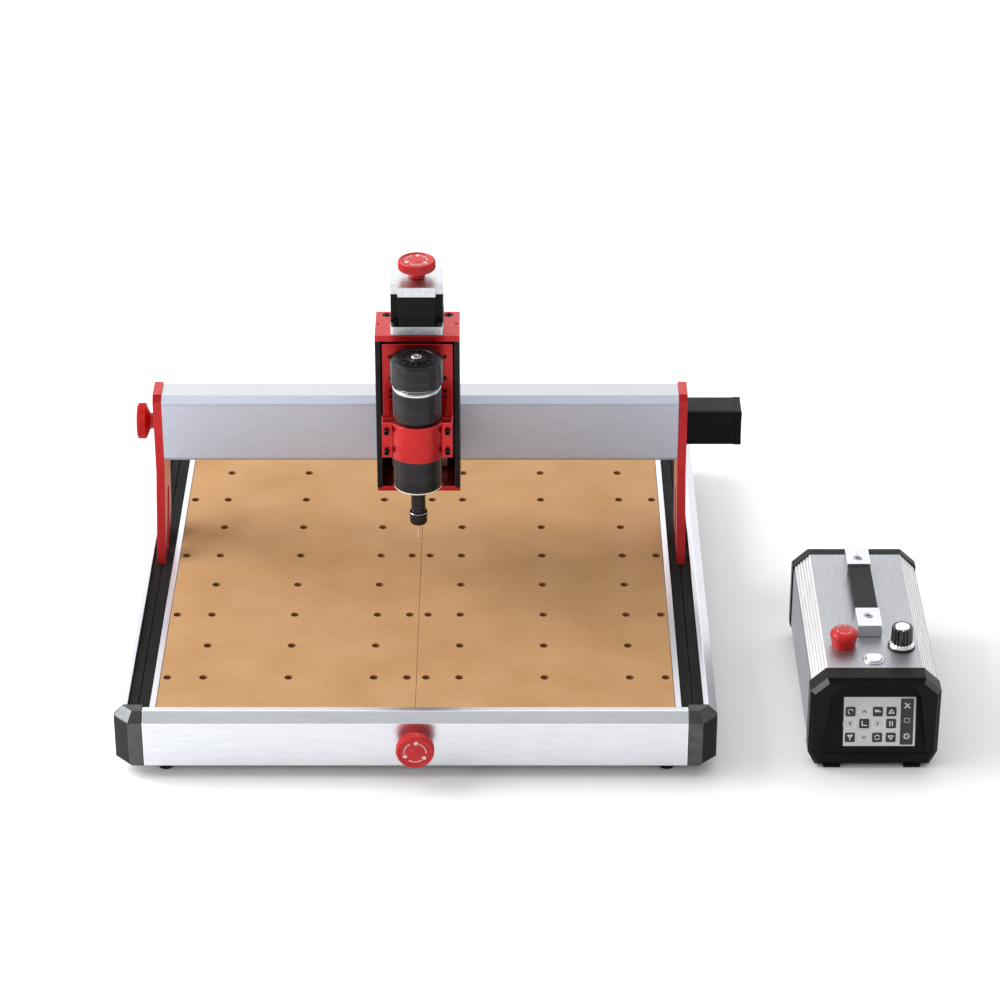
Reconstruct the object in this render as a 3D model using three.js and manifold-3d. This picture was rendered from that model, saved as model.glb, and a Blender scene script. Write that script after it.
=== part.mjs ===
// Desktop CNC router: a flat-bed frame with a wasteboard, a moving gantry, an X carriage that
// holds the Z column and the spindle, and the separate control box that drives it.
// Millimetres, +Z up, +X to the operator's right, +Y to the back. The bench is z = 0.
import * as THREE from 'three';
import { mergeVertices } from 'three/addons/utils/BufferGeometryUtils.js';
import { ConvexGeometry } from 'three/addons/geometries/ConvexGeometry.js';
import Module from 'manifold-3d';

const wasm = await Module();
wasm.setup();

// ---------------------------------------------------------------- driving dimensions
const GAP = 0.3;                      // clearance between pieces that touch

// base frame
const BASE_HALF_X = 314.4;
const BASE_HALF_Y = 329.5;
const BASE_UNDERSIDE = 13;
const BASE_TOP = 77;
const EDGE_CHAMFER = 9.6;
const BEAM_DEPTH = 25;                // front and rear beams, along Y
const BEAM_HALF_X = 283.7;
const CORNER_DEPTH = 21.8;
const CORNER_PLAN_CHAMFER = 16;
const RAIL_INNER_WALL = 308;          // inner face of each side beam's outer wall
const FOOT = { radius: 11, base: 8.5, x: 263, y: 306 };

// bed
const BOARD_TOP = 76;
const BOARD_THICKNESS = 15;
const BOARD_HALF_X = 270.2;
const BOARD_HALF_Y = 311.9;
const HOLE_COLUMNS = [45, 135, 225];
const HOLE_ROW_PITCH = 63.43;
const HOLE_ROWS_EACH_WAY = 4;
const HOLE_RADIUS = 4.2;
const FIXING_COLUMNS = [10, 262.8];
const STRIP = { inner: 270.6, outer: 276.6, bottom: 40, top: 76.5 };

// Y drive
const Y_SCREW_Z = 45.5;
const Y_SCREW_RADIUS = 6;
const Y_RAIL = { centreZ: 42.5, width: 9, height: 6.4, halfLength: 300 };
const Y_MOTOR = { size: 56.4, length: 50 };

// gantry, measured from the beam's centre line at rest
const GANTRY_Y = 43.5;
const PLATE = { inner: 285, outer: 294.5 };
const X_BEAM = { halfX: 284.7, halfY: 21, bottom: 184, top: 263, chamfer: 7, wall: 5 };
const COVER = { thickness: 3, bottom: 189.9, top: 253.2 };
const X_SCREW = { y: 7, z: 220, radius: 4 };
const X_RAIL = { width: 12, height: 8, levels: [201, 243], halfLength: 280 };
const X_MOTOR = { size: 42.3, length: 60.5 };
const CROSS_BEAM = { front: -38.5, back: 1.5, bottom: 17, top: 36.5, wall: 3 };

// X carriage and Z column, in the gantry's frame
const SADDLE = { halfX: 40, front: -50.7, plateBack: -35.5, innerFront: -6.5, innerBack: 2, arm: 2 };
const COLUMN = { halfX: 45, wall: 5.8, front: -109, back: -51, backWall: 8, bottom: 199.3, top: 376.7 };
const TOP_PLATE = { bottom: 377, top: 384 };
const BOTTOM_PLATE = { bottom: 193, top: 199, front: -104.3 };
const Z_SCREW = { y: -81, radius: 4 };
const Z_RAIL = { x: 26, width: 9, height: 6.2 };
const Z_MOTOR = { size: 56.4, length: 56 };

// Z carriage and spindle
const CARRIAGE = { halfX: 38, front: -105, back: -97, bottom: 279, top: 372, ribIn: 16, ribBack: -61 };
const SPINDLE = { y: -138, radius: 26, bottom: 220.5, top: 341, cap: 28, capBottom: 345, capTop: 373 };
const CLAMP = {
  halfX: 37.5, split: -144, front: -154, earBack: -136.5, blockHalfX: 31, back: -105.3, radius: 31,
  bottom: 261.5, top: 303.5,
};
const COLLET = { radius: 9.9, bottom: 173, top: 187.5 };
const BIT = { radius: 1.6, tip: 152.6, top: 183.6 };
const BORE_RADIUS = 6.5;              // through the spindle for its shaft

// hand knobs on the three screws
const KNOB = { radius: 20, rim: 10, neck: 9, neckLength: 5, cone: 4 };
const SHAFT_RADIUS = 3;
const SHAFT_BORE = 3.5;

// control box
const BOX_X = 478.5;
const BOX_Y = -178;
const BOX = { halfLength: 134.5, height: 110, frontDepth: 24, rearDepth: 12, wall: 3 };
const BEZEL_SECTION = { top: 51, side: 68, base: 60, upper: 94, lower: 19, bottom: 3, height: 110 };
const HOUSING_SECTION = { top: 49.5, side: 66.5, base: 58, upper: 93, lower: 20, bottom: 4.5, height: 109.7 };
const BEZEL_CHAMFER = 4.5;            // round the front bezel's front face
const PAD = { x: 42, halfX: 9, length: 10 };  // feet moulded under both bezels
const SCREEN_TILT = THREE.MathUtils.degToRad(14);
const SCREEN = { width: 80.2, height: 55.5, thickness: 4, centreX: 3.4, centreZ: 56 };
const RECESS = {
  topHalf: 36, kneeHalf: 47.2, baseHalf: 55.6, bottom: 18.5, knee: 87, top: 104, shallow: 1, deep: 22,
};
const STRAP = { halfX: 12, bottom: 118.5, top: 121.5 };
const BRACKET = { halfX: 12.8, length: 36.5, height: 14, frontY: -49.5, rearY: 78.5 };
const ESTOP = { x: -29, y: -65, radius: 15, height: 18.5, stem: 7 };
const SPEED_KNOB = { x: 31.5, y: -67.5, radius: 11.7, skirt: 14.5, height: 24.5 };
const PUSH_BUTTON = { x: 0, y: -94, radius: 8.4, height: 3 };

// ---------------------------------------------------------------- finishes
const finish = (color, roughness, metalness) =>
  new THREE.MeshStandardMaterial({ color, roughness, metalness });
const SILVER = finish(0xc8c9d0, 0.35, 0.9);
const RED = finish(0xc4201f, 0.4, 0.6);
const MDF = finish(0xcda678, 0.85, 0);
const BLACK = finish(0x2a2a2a, 0.5, 0.1);
const DARK_METAL = finish(0x3f4142, 0.35, 0.7);
const STEEL = finish(0xa9abae, 0.3, 1);
const RUBBER = finish(0x1b1b1b, 0.9, 0);
const GLASS = finish(0x0c0c0e, 0.1, 0);

// ---------------------------------------------------------------- solid helpers
function toSolid(geometry) {
  const bare = geometry.clone();
  bare.deleteAttribute('normal');
  bare.deleteAttribute('uv');
  const merged = mergeVertices(bare, 1e-4);
  const triangles = [];
  const index = merged.index.array;
  for (let i = 0; i < index.length; i += 3) {
    const [a, b, c] = [index[i], index[i + 1], index[i + 2]];
    if (a !== b && b !== c && c !== a) triangles.push(a, b, c);
  }
  return new wasm.Manifold(new wasm.Mesh({
    numProp: 3,
    vertProperties: Float32Array.from(merged.attributes.position.array),
    triVerts: Uint32Array.from(triangles),
  }));
}

function fromSolid(solid) {
  const mesh = solid.getMesh();
  const geometry = new THREE.BufferGeometry();
  const corners = Float32Array.from(mesh.vertProperties);
  geometry.setAttribute('position', new THREE.BufferAttribute(corners, 3));
  geometry.setIndex(new THREE.BufferAttribute(Uint32Array.from(mesh.triVerts), 1));
  return geometry;
}

const cut = (body, ...tools) =>
  fromSolid(tools.reduce((solid, tool) => solid.subtract(toSolid(tool)), toSolid(body)));
const join = (body, ...others) =>
  fromSolid(others.reduce((solid, other) => solid.add(toSolid(other)), toSolid(body)));
const overlap = (body, ...others) =>
  fromSolid(others.reduce((solid, other) => solid.intersect(toSolid(other)), toSolid(body)));

// A box from its low and high corners.
function box(x0, x1, y0, y1, z0, z1) {
  const geometry = new THREE.BoxGeometry(x1 - x0, y1 - y0, z1 - z0);
  return geometry.translate((x0 + x1) / 2, (y0 + y1) / 2, (z0 + z1) / 2);
}

function outline(points, holes = []) {
  const shape = new THREE.Shape(points.map(([a, b]) => new THREE.Vector2(a, b)));
  for (const hole of holes) shape.holes.push(new THREE.Path(hole.map(([a, b]) => new THREE.Vector2(a, b))));
  return shape;
}

const extrude = (shape, depth) =>
  new THREE.ExtrudeGeometry(shape, { depth, bevelEnabled: false, steps: 1 });

// Straight bars: the outline is in (X, Y), (X, Z) or (Y, Z).
const barZ = (shape, z0, z1) => extrude(shape, z1 - z0).translate(0, 0, z0);
const barY = (shape, y0, y1) => extrude(shape, y1 - y0).rotateX(Math.PI / 2).translate(0, y1, 0);
const YZ_TO_X = new THREE.Matrix4().set(0, 0, 1, 0, 1, 0, 0, 0, 0, 1, 0, 0, 0, 0, 0, 1);
const barX = (shape, x0, x1) => extrude(shape, x1 - x0).applyMatrix4(YZ_TO_X).translate(x0, 0, 0);

// A turned piece about Z; the profile is [radius, height] pairs from the axis back to the axis.
function turned(profile, sides = 24) {
  const points = profile.map(([r, h]) => new THREE.Vector2(r, h));
  return new THREE.LatheGeometry(points, sides).rotateX(Math.PI / 2);
}

const rod = (radius, z0, z1, sides = 16) => turned([[0, z0], [radius, z0], [radius, z1], [0, z1]], sides);
const rodY = (radius, y0, y1, sides = 16) => rod(radius, -y1, -y0, sides).rotateX(Math.PI / 2);
const rodX = (radius, x0, x1, sides = 16) => rod(radius, x0, x1, sides).rotateY(Math.PI / 2);

function rectangle(a0, a1, b0, b1) {
  return [[a0, b0], [a1, b0], [a1, b1], [a0, b1]];
}

function piece(name, geometry, material, at = [0, 0, 0]) {
  const mesh = new THREE.Mesh(geometry, material);
  mesh.name = name;
  mesh.position.set(...at);
  return mesh;
}

// ---------------------------------------------------------------- base frame
// Outline of the front beam in (Y, Z) with its outer face at y = 0 and the machine behind it.
function frontBeamOutline() {
  const lip = EDGE_CHAMFER + 7.6;
  const ledge = BOARD_TOP - BOARD_THICKNESS - GAP;
  return [
    [2.6, BASE_UNDERSIDE], [BEAM_DEPTH, BASE_UNDERSIDE], [BEAM_DEPTH, ledge], [lip, ledge],
    [lip, BASE_TOP], [EDGE_CHAMFER, BASE_TOP], [0, BASE_TOP - EDGE_CHAMFER], [0, BASE_UNDERSIDE + 2.6],
  ];
}

function crossFrameBeam() {
  const hollow = rectangle(4, BEAM_DEPTH - 4, BASE_UNDERSIDE + 4, 56);
  const bar = barX(outline(frontBeamOutline(), [hollow]), -BEAM_HALF_X, BEAM_HALF_X);
  const bore = rodY(KNOB.neck + 0.6, -1, BEAM_DEPTH + 1).translate(0, 0, Y_SCREW_Z);
  return cut(bar.translate(0, -BASE_HALF_Y, 0), bore.translate(0, -BASE_HALF_Y, 0));
}

// Right-hand side beam in (X, Z): outer wall, foot flange, top flange and seal holder.
function sideBeamOutline() {
  const x = BASE_HALF_X;
  return [
    [284.2, BASE_UNDERSIDE], [x - 2.6, BASE_UNDERSIDE], [x, BASE_UNDERSIDE + 2.6],
    [x, BASE_TOP - EDGE_CHAMFER], [x - EDGE_CHAMFER, BASE_TOP], [299.9, BASE_TOP], [299.9, 72],
    [295.1, 72], [295.1, 69], [299.9, 69], [299.9, 64], [RAIL_INNER_WALL, 64],
    [RAIL_INNER_WALL, BASE_UNDERSIDE + 3.5], [284.2, BASE_UNDERSIDE + 3.5],
  ];
}

const sideBeam = () =>
  barY(outline(sideBeamOutline()), -(BASE_HALF_Y - CORNER_DEPTH - GAP), BASE_HALF_Y - CORNER_DEPTH - GAP);

// Front right corner block: the two beam profiles meet over a chamfered plan.
function cornerBlock() {
  const x0 = BEAM_HALF_X + GAP;
  const [x1, y0, c] = [BASE_HALF_X, -BASE_HALF_Y, CORNER_PLAN_CHAMFER];
  const plan = outline([[x0, y0], [x1 - c, y0], [x1, y0 + c], [x1, y0 + CORNER_DEPTH], [x0, y0 + CORNER_DEPTH]]);
  const low = BASE_UNDERSIDE;
  const front = [
    [2.6, low], [40, low], [40, BASE_TOP], [EDGE_CHAMFER, BASE_TOP],
    [0, BASE_TOP - EDGE_CHAMFER], [0, low + 2.6],
  ];
  const side = [
    [x0 - 1, low], [x1 - 2.6, low], [x1, low + 2.6], [x1, BASE_TOP - EDGE_CHAMFER],
    [x1 - EDGE_CHAMFER, BASE_TOP], [x0 - 1, BASE_TOP],
  ];
  const diagonal = [
    [4, low], [60, low], [60, BASE_TOP], [EDGE_CHAMFER, BASE_TOP], [0, BASE_TOP - EDGE_CHAMFER], [0, low + 4],
  ];
  return overlap(
    barZ(plan, 0, 100),
    barX(outline(front), x0 - 1, x1 + 1).translate(0, y0, 0),
    barY(outline(side), y0 - 1, y0 + 60),
    barX(outline(diagonal), -60, 60).rotateZ(Math.PI / 4).translate(x1 - c / 2, y0 + c / 2, 0),
  );
}

// Inner strip that carries the board's outer edge and one seal.
function boardSupport() {
  const { inner, outer, bottom, top } = STRIP;
  const ledge = BOARD_TOP - BOARD_THICKNESS - GAP;
  const full = outline([
    [inner, bottom], [outer, bottom], [outer, 69], [284.4, 69], [284.4, 72], [outer, 72],
    [outer, top], [inner, top], [inner, ledge], [258, ledge], [258, ledge - 5.7], [inner, ledge - 5.7],
  ]);
  const reach = BASE_HALF_Y - BEAM_DEPTH - GAP;
  const upper = outline(rectangle(inner, outer, ledge + GAP, top));
  return join(barY(full, -reach, reach), barY(upper, -BOARD_HALF_Y, BOARD_HALF_Y));
}

const boardHoleRows = () =>
  Array.from({ length: 2 * HOLE_ROWS_EACH_WAY + 1 }, (_, i) => (i - HOLE_ROWS_EACH_WAY) * HOLE_ROW_PITCH);

// Right-hand half of the wasteboard with its grid of clamp holes and its fixing holes.
function wasteboard() {
  const holes = [];
  boardHoleRows().forEach((y, row) => {
    const columns = row % 2 === 0 ? [...HOLE_COLUMNS, ...FIXING_COLUMNS] : HOLE_COLUMNS;
    for (const x of columns) holes.push(ring(x, y, HOLE_RADIUS, 8));
  });
  const edge = rectangle(GAP / 2, BOARD_HALF_X, -BOARD_HALF_Y, BOARD_HALF_Y);
  return barZ(outline(edge, holes), BOARD_TOP - BOARD_THICKNESS, BOARD_TOP);
}

function ring(x, y, radius, sides) {
  return Array.from({ length: sides }, (_, i) => {
    const angle = (2 * Math.PI * (i + 0.5)) / sides;
    return [x + radius * Math.cos(angle), y + radius * Math.sin(angle)];
  });
}

function yRail() {
  const half = Y_RAIL.width / 2;
  const outer = RAIL_INNER_WALL - GAP;
  const y = Y_RAIL.halfLength;
  return box(outer - Y_RAIL.height, outer, -y, y, Y_RAIL.centreZ - half, Y_RAIL.centreZ + half);
}

// Square motor with notched corners and a bore for its shaft, standing on z = 0.
function motor(size, length) {
  const half = size / 2;
  const notch = size * 0.15;
  const inner = half - notch;
  const edge = [
    [-inner, -half], [inner, -half], [inner, -inner], [half, -inner], [half, inner], [inner, inner],
    [inner, half], [-inner, half], [-inner, inner], [-half, inner], [-half, -inner], [-inner, -inner],
  ];
  return cut(barZ(outline(edge), 0, length), rod(SHAFT_BORE, -1, length + 1, 12));
}

// Hand knob standing on z = 0, with a blind bore for the shaft.
function knob() {
  const { radius, rim, neck, neckLength, cone } = KNOB;
  const top = neckLength + cone + rim;
  return turned([
    [0, top - 6], [SHAFT_BORE, top - 6], [SHAFT_BORE, 0], [neck, 0], [neck, neckLength],
    [radius - 1, neckLength + cone], [radius, neckLength + cone + 1], [radius, top - 1],
    [radius - 1, top], [0, top],
  ], 32);
}
const KNOB_LENGTH = KNOB.neckLength + KNOB.cone + KNOB.rim;

// Tapered rubber foot.
function foot() {
  const { radius, base } = FOOT;
  const top = BASE_UNDERSIDE - GAP;
  return turned([[0, 0], [base - 1, 0], [base, 1], [radius, top - 2], [radius, top], [0, top]]);
}

function buildBase() {
  const group = new THREE.Group();
  const mirrorX = (geometry) => flip(geometry, -1, 1);
  group.add(piece('front_beam', crossFrameBeam(), SILVER));
  group.add(piece('rear_beam', flip(crossFrameBeam(), 1, -1), SILVER));
  group.add(piece('right_side_beam', sideBeam(), SILVER));
  group.add(piece('left_side_beam', mirrorX(sideBeam()), SILVER));
  group.add(piece('corner_front_right', cornerBlock(), BLACK));
  group.add(piece('corner_front_left', flip(cornerBlock(), -1, 1), BLACK));
  group.add(piece('corner_rear_right', flip(cornerBlock(), 1, -1), BLACK));
  group.add(piece('corner_rear_left', flip(cornerBlock(), -1, -1), BLACK));
  group.add(piece('wasteboard_right', wasteboard(), MDF));
  group.add(piece('wasteboard_left', mirrorX(wasteboard()), MDF));
  group.add(piece('board_support_right', boardSupport(), SILVER));
  group.add(piece('board_support_left', mirrorX(boardSupport()), SILVER));
  const reach = BASE_HALF_Y - BEAM_DEPTH - GAP;
  const ledge = BOARD_TOP - BOARD_THICKNESS - GAP;
  group.add(piece('centre_support', box(-24, 24, -reach, reach, ledge - 4.2, ledge), SILVER));
  group.add(piece('y_rail_right', yRail(), STEEL));
  group.add(piece('y_rail_left', mirrorX(yRail()), STEEL));
  for (const [end, sy] of [['front', -1], ['rear', 1]]) {
    for (const [hand, sx] of [['left', -1], ['right', 1]]) {
      group.add(piece(`foot_${end}_${hand}`, foot(), RUBBER, [sx * FOOT.x, sy * FOOT.y, 0]));
    }
  }
  const yMotor = piece('y_motor', motor(Y_MOTOR.size, Y_MOTOR.length), BLACK,
    [0, BASE_HALF_Y + GAP, Y_SCREW_Z]);
  yMotor.rotation.x = -Math.PI / 2;
  group.add(yMotor);
  group.add(buildYScrew());
  return group;
}

// Mirror a geometry in X and/or Y and keep its faces pointing out.
function flip(geometry, sx, sy) {
  const mirrored = geometry.clone().scale(sx, sy, 1);
  if (sx * sy > 0) return mirrored;
  const solid = mirrored.index ? mirrored : mergeVertices(mirrored);
  const index = solid.index.array;
  for (let i = 0; i < index.length; i += 3) [index[i], index[i + 1]] = [index[i + 1], index[i]];
  return solid;
}

function buildYScrew() {
  const group = new THREE.Group();
  group.position.set(0, 0, Y_SCREW_Z);
  const knobFoot = BASE_HALF_Y + 3;
  const screwEnd = BASE_HALF_Y - BEAM_DEPTH - 1;
  const profile = [
    [0, -(BASE_HALF_Y + Y_MOTOR.length)], [SHAFT_RADIUS, -(BASE_HALF_Y + Y_MOTOR.length)],
    [SHAFT_RADIUS, -(BASE_HALF_Y - 2)], [8, -(BASE_HALF_Y - 2)], [8, -screwEnd], [Y_SCREW_RADIUS, -screwEnd],
    [Y_SCREW_RADIUS, screwEnd], [8, screwEnd], [8, BASE_HALF_Y - 2], [SHAFT_RADIUS, BASE_HALF_Y - 2],
    [SHAFT_RADIUS, knobFoot + KNOB_LENGTH - 7], [0, knobFoot + KNOB_LENGTH - 7],
  ];
  const screw = piece('y_screw', turned(profile, 16), STEEL);
  screw.rotation.x = Math.PI / 2;
  const hand = piece('y_knob', knob(), RED, [0, -knobFoot, 0]);
  hand.rotation.x = Math.PI / 2;
  group.add(screw, hand);
  return group;
}

// ---------------------------------------------------------------- gantry
// Side plate in (Y, Z) in the gantry's frame: a leg that sweeps forward to the bed.
function plateOutline() {
  return [
    [-54, 18], [12, 18], [18, 40], [21, 70], [27.5, 95], [34.5, 125], [40.5, 150], [40.5, 178],
    [26.5, 236], [23.5, 257], [16.5, 264], [-14, 264], [-20, 257], [-20, 170], [-58, 74], [-58, 30],
  ];
}

// Slanted slot through the leg, with round ends.
function plateSlot() {
  const ends = [[-25.5, 84], [4.5, 130]];
  const radius = 9;
  const slope = Math.atan2(ends[1][1] - ends[0][1], ends[1][0] - ends[0][0]);
  const points = [];
  ends.forEach(([y, z], end) => {
    for (let i = 0; i <= 6; i++) {
      const angle = slope + Math.PI / 2 + end * Math.PI + (Math.PI * i) / 6;
      points.push([y + radius * Math.cos(angle), z + radius * Math.sin(angle)]);
    }
  });
  return points;
}

// Right-hand plate with the bearing block that runs on the Y rail.
function sidePlate() {
  const plate = barX(outline(plateOutline(), [plateSlot()]), PLATE.inner, PLATE.outer);
  const z = Y_RAIL.centreZ;
  const block = box(PLATE.outer - 1, 306, -48, 10, z - 12.5, z + 12.5);
  const slot = box(RAIL_INNER_WALL - Y_RAIL.height - 2 * GAP, 310, -50, 12, z - 4.9, z + 4.9);
  const shaft = rodX(5, 280, 300, 12).translate(0, X_SCREW.y, X_SCREW.z);
  return cut(join(plate, block), slot, shaft);
}

// X beam in (Y, Z): a C section, open to the front behind its cover.
function xBeamOutline() {
  const { halfY, bottom, top, chamfer, wall } = X_BEAM;
  const lip = COVER.bottom - 2.6;
  return [
    [-halfY + 3, bottom], [halfY - 3, bottom], [halfY, bottom + 3], [halfY, top - chamfer],
    [halfY - chamfer, top], [-halfY + chamfer, top], [-halfY, top - chamfer], [-halfY, COVER.top + 2.6],
    [-halfY + 8, COVER.top + 2.6], [-halfY + 10, top - wall], [halfY - wall - 3, top - wall],
    [halfY - wall, top - wall - 3], [halfY - wall, lip], [-halfY, lip],
  ];
}

function xRail(z) {
  const back = X_BEAM.halfY - X_BEAM.wall - GAP;
  const half = X_RAIL.width / 2;
  return box(-X_RAIL.halfLength, X_RAIL.halfLength, back - X_RAIL.height, back, z - half, z + half);
}

function crossBeam() {
  const { front, back, bottom, top, wall } = CROSS_BEAM;
  const hollow = rectangle(front + wall, back - wall, bottom + wall, top - wall);
  return barX(outline(rectangle(front, back, bottom, top), [hollow]), -X_BEAM.halfX, X_BEAM.halfX);
}

function yNut() {
  const block = box(-18, 18, CROSS_BEAM.front + 5, CROSS_BEAM.back - 5, CROSS_BEAM.top + GAP, 55.8);
  return cut(block, rodY(Y_SCREW_RADIUS + 0.5, -60, 20).translate(0, 0, Y_SCREW_Z));
}

function buildXScrew() {
  const group = new THREE.Group();
  group.position.set(0, X_SCREW.y, X_SCREW.z);
  const end = X_BEAM.halfX - 2;
  const knobFoot = PLATE.outer + 1;
  const right = PLATE.outer + X_MOTOR.length;
  const profile = [
    [0, -(knobFoot + KNOB_LENGTH - 7)], [SHAFT_RADIUS, -(knobFoot + KNOB_LENGTH - 7)], [SHAFT_RADIUS, -end],
    [X_SCREW.radius, -end], [X_SCREW.radius, end - 11], [7, end - 11], [7, end], [SHAFT_RADIUS, end],
    [SHAFT_RADIUS, right], [0, right],
  ];
  const screw = piece('x_screw', turned(profile, 12), STEEL);
  screw.rotation.y = Math.PI / 2;
  const hand = piece('x_knob', knob(), RED, [-knobFoot, 0, 0]);
  hand.rotation.y = -Math.PI / 2;
  group.add(screw, hand);
  return group;
}

function buildGantry() {
  const group = new THREE.Group();
  group.position.set(0, GANTRY_Y, 0);
  group.add(piece('side_plate_right', sidePlate(), RED));
  group.add(piece('side_plate_left', flip(sidePlate(), -1, 1), RED));
  group.add(piece('x_beam', barX(outline(xBeamOutline()), -X_BEAM.halfX, X_BEAM.halfX), SILVER));
  const { thickness, bottom, top } = COVER;
  const face = -X_BEAM.halfY;
  const cover = box(-X_BEAM.halfX, X_BEAM.halfX, face, face + thickness, bottom, top);
  group.add(piece('beam_cover', cover, SILVER));
  group.add(piece('x_rail_lower', xRail(X_RAIL.levels[0]), STEEL));
  group.add(piece('x_rail_upper', xRail(X_RAIL.levels[1]), STEEL));
  group.add(piece('cross_beam', crossBeam(), SILVER));
  group.add(piece('y_nut', yNut(), BLACK));
  const xMotor = piece('x_motor', motor(X_MOTOR.size, X_MOTOR.length), BLACK,
    [PLATE.outer + GAP, X_SCREW.y, X_SCREW.z]);
  xMotor.rotation.y = Math.PI / 2;
  group.add(xMotor, buildXScrew(), buildCarriage());
  return group;
}

// ---------------------------------------------------------------- X carriage and Z column
// Saddle: outer plate, two thin arms round the beam cover, inner plate and its bearing blocks.
function saddle() {
  const { halfX, front, plateBack, innerFront, innerBack, arm } = SADDLE;
  const low = COVER.bottom - 2.3;
  const high = COVER.top + 2.3;
  const outer = box(-halfX, halfX, front, plateBack, low, high);
  const upperArm = box(-halfX, halfX, plateBack - 1, innerBack, high - arm, high);
  const lowerArm = box(-halfX, halfX, plateBack - 1, innerBack, low, low + arm);
  const inner = box(-halfX, halfX, innerFront, innerBack, low, high);
  const railBack = X_BEAM.halfY - X_BEAM.wall - GAP;
  const blocks = X_RAIL.levels.map((z) => box(-34, 34, innerBack - 1, railBack - 1, z - 9.5, z + 9.5));
  const slots = X_RAIL.levels.map((z) =>
    box(-50, 50, railBack - X_RAIL.height - GAP, 30, z - X_RAIL.width / 2 - GAP, z + X_RAIL.width / 2 + GAP));
  const window = box(-12.3, 12.3, innerFront - 1, innerBack + 1, X_SCREW.z - 9, X_SCREW.z + 12.8);
  return cut(join(outer, upperArm, lowerArm, inner, ...blocks), ...slots, window);
}

function xNut() {
  const block = box(-12, 12, -6.2, 14, X_SCREW.z - 8.7, X_SCREW.z + 12.5);
  return cut(block, rodX(X_SCREW.radius + 0.5, -20, 20, 12).translate(0, X_SCREW.y, X_SCREW.z));
}

// Z column: a U-shaped upright, open to the front.
function zColumn() {
  const { halfX, wall, front, back, backWall, bottom, top } = COLUMN;
  const inner = halfX - wall;
  const edge = [
    [-halfX, front], [-inner, front], [-inner, back - backWall], [inner, back - backWall],
    [inner, front], [halfX, front], [halfX, back], [-halfX, back],
  ];
  return barZ(outline(edge), bottom, top);
}

function zRail() {
  const back = COLUMN.back - COLUMN.backWall - GAP;
  const half = Z_RAIL.width / 2;
  return box(-half, half, back - Z_RAIL.height, back, COLUMN.bottom + 3, COLUMN.top - 3);
}

function columnPlate(front, bottom, top, boreRadius) {
  const plate = box(-COLUMN.halfX, COLUMN.halfX, front, COLUMN.back, bottom, top);
  return cut(plate, rod(boreRadius, bottom - 1, top + 1, 16).translate(0, Z_SCREW.y, 0));
}

function buildZScrew() {
  const group = new THREE.Group();
  group.position.set(0, Z_SCREW.y, 0);
  const motorTop = TOP_PLATE.top + GAP + Z_MOTOR.length;
  const shaftTop = motorTop + KNOB_LENGTH - 7;
  const profile = [
    [0, BOTTOM_PLATE.bottom + 2], [Z_SCREW.radius, BOTTOM_PLATE.bottom + 2], [Z_SCREW.radius, 347],
    [9.5, 347], [9.5, 374], [SHAFT_RADIUS, 374], [SHAFT_RADIUS, shaftTop], [0, shaftTop],
  ];
  group.add(piece('z_screw', turned(profile, 12), STEEL));
  group.add(piece('z_knob', knob(), RED, [0, 0, motorTop + 0.5]));
  return group;
}

function buildCarriage() {
  const group = new THREE.Group();
  group.add(piece('x_saddle', saddle(), SILVER));
  group.add(piece('x_nut', xNut(), BLACK));
  group.add(piece('z_column', zColumn(), BLACK));
  group.add(piece('z_top_plate', columnPlate(COLUMN.front, TOP_PLATE.bottom, TOP_PLATE.top, 10.5), RED));
  group.add(piece('z_bottom_plate',
    columnPlate(BOTTOM_PLATE.front, BOTTOM_PLATE.bottom, BOTTOM_PLATE.top, 4.6), RED));
  group.add(piece('z_rail_left', zRail(), STEEL, [-Z_RAIL.x, 0, 0]));
  group.add(piece('z_rail_right', zRail(), STEEL, [Z_RAIL.x, 0, 0]));
  group.add(piece('z_motor', motor(Z_MOTOR.size, Z_MOTOR.length), BLACK,
    [0, Z_SCREW.y, TOP_PLATE.top + GAP]));
  group.add(buildZScrew(), buildZCarriage());
  return group;
}

// ---------------------------------------------------------------- Z carriage and spindle
function zCarriage() {
  const { halfX, front, back, bottom, top, ribIn, ribBack } = CARRIAGE;
  const plate = box(-halfX, halfX, front, back, bottom, top);
  const ribs = [-1, 1].map((side) => {
    const [low, high] = side < 0 ? [-halfX, -ribIn] : [ribIn, halfX];
    return box(low, high, back - 1, ribBack, 285, 345);
  });
  const railFront = COLUMN.back - COLUMN.backWall - GAP - Z_RAIL.height;
  const half = Z_RAIL.width / 2 + GAP;
  const slots = [-Z_RAIL.x, Z_RAIL.x].map((x) => box(x - half, x + half, railFront - GAP, -50, 270, 360));
  return cut(join(plate, ...ribs), ...slots);
}

function zNut() {
  const block = box(-13, 13, CARRIAGE.back + GAP, -68, 292, 322);
  return cut(block, rod(Z_SCREW.radius + 0.5, 280, 330, 12).translate(0, Z_SCREW.y, 0));
}

function clampHalf(rear) {
  const { halfX, split, front, earBack, blockHalfX, back, radius, bottom, top } = CLAMP;
  const bore = rod(SPINDLE.radius + 0.4, bottom - 1, top + 1, 32).translate(0, SPINDLE.y, 0);
  if (rear) {
    const ears = box(-halfX, halfX, split + GAP / 2, earBack, bottom, top);
    return cut(join(ears, box(-blockHalfX, blockHalfX, split + GAP / 2, back, bottom, top)), bore);
  }
  const shell = rod(radius, bottom, top, 32).translate(0, SPINDLE.y, 0);
  const forward = box(-halfX, halfX, -190, split - GAP / 2, bottom, top);
  return cut(join(box(-halfX, halfX, front, split - GAP / 2, bottom, top), overlap(shell, forward)), bore);
}

function spindleBody() {
  const { radius, bottom, top } = SPINDLE;
  return turned([
    [BORE_RADIUS, bottom], [radius - 1.5, bottom], [radius, bottom + 1.5], [radius, top - 1], [radius - 1, top],
    [22, top], [22, SPINDLE.capBottom - GAP], [BORE_RADIUS, SPINDLE.capBottom - GAP], [BORE_RADIUS, bottom],
  ], 32);
}

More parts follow.
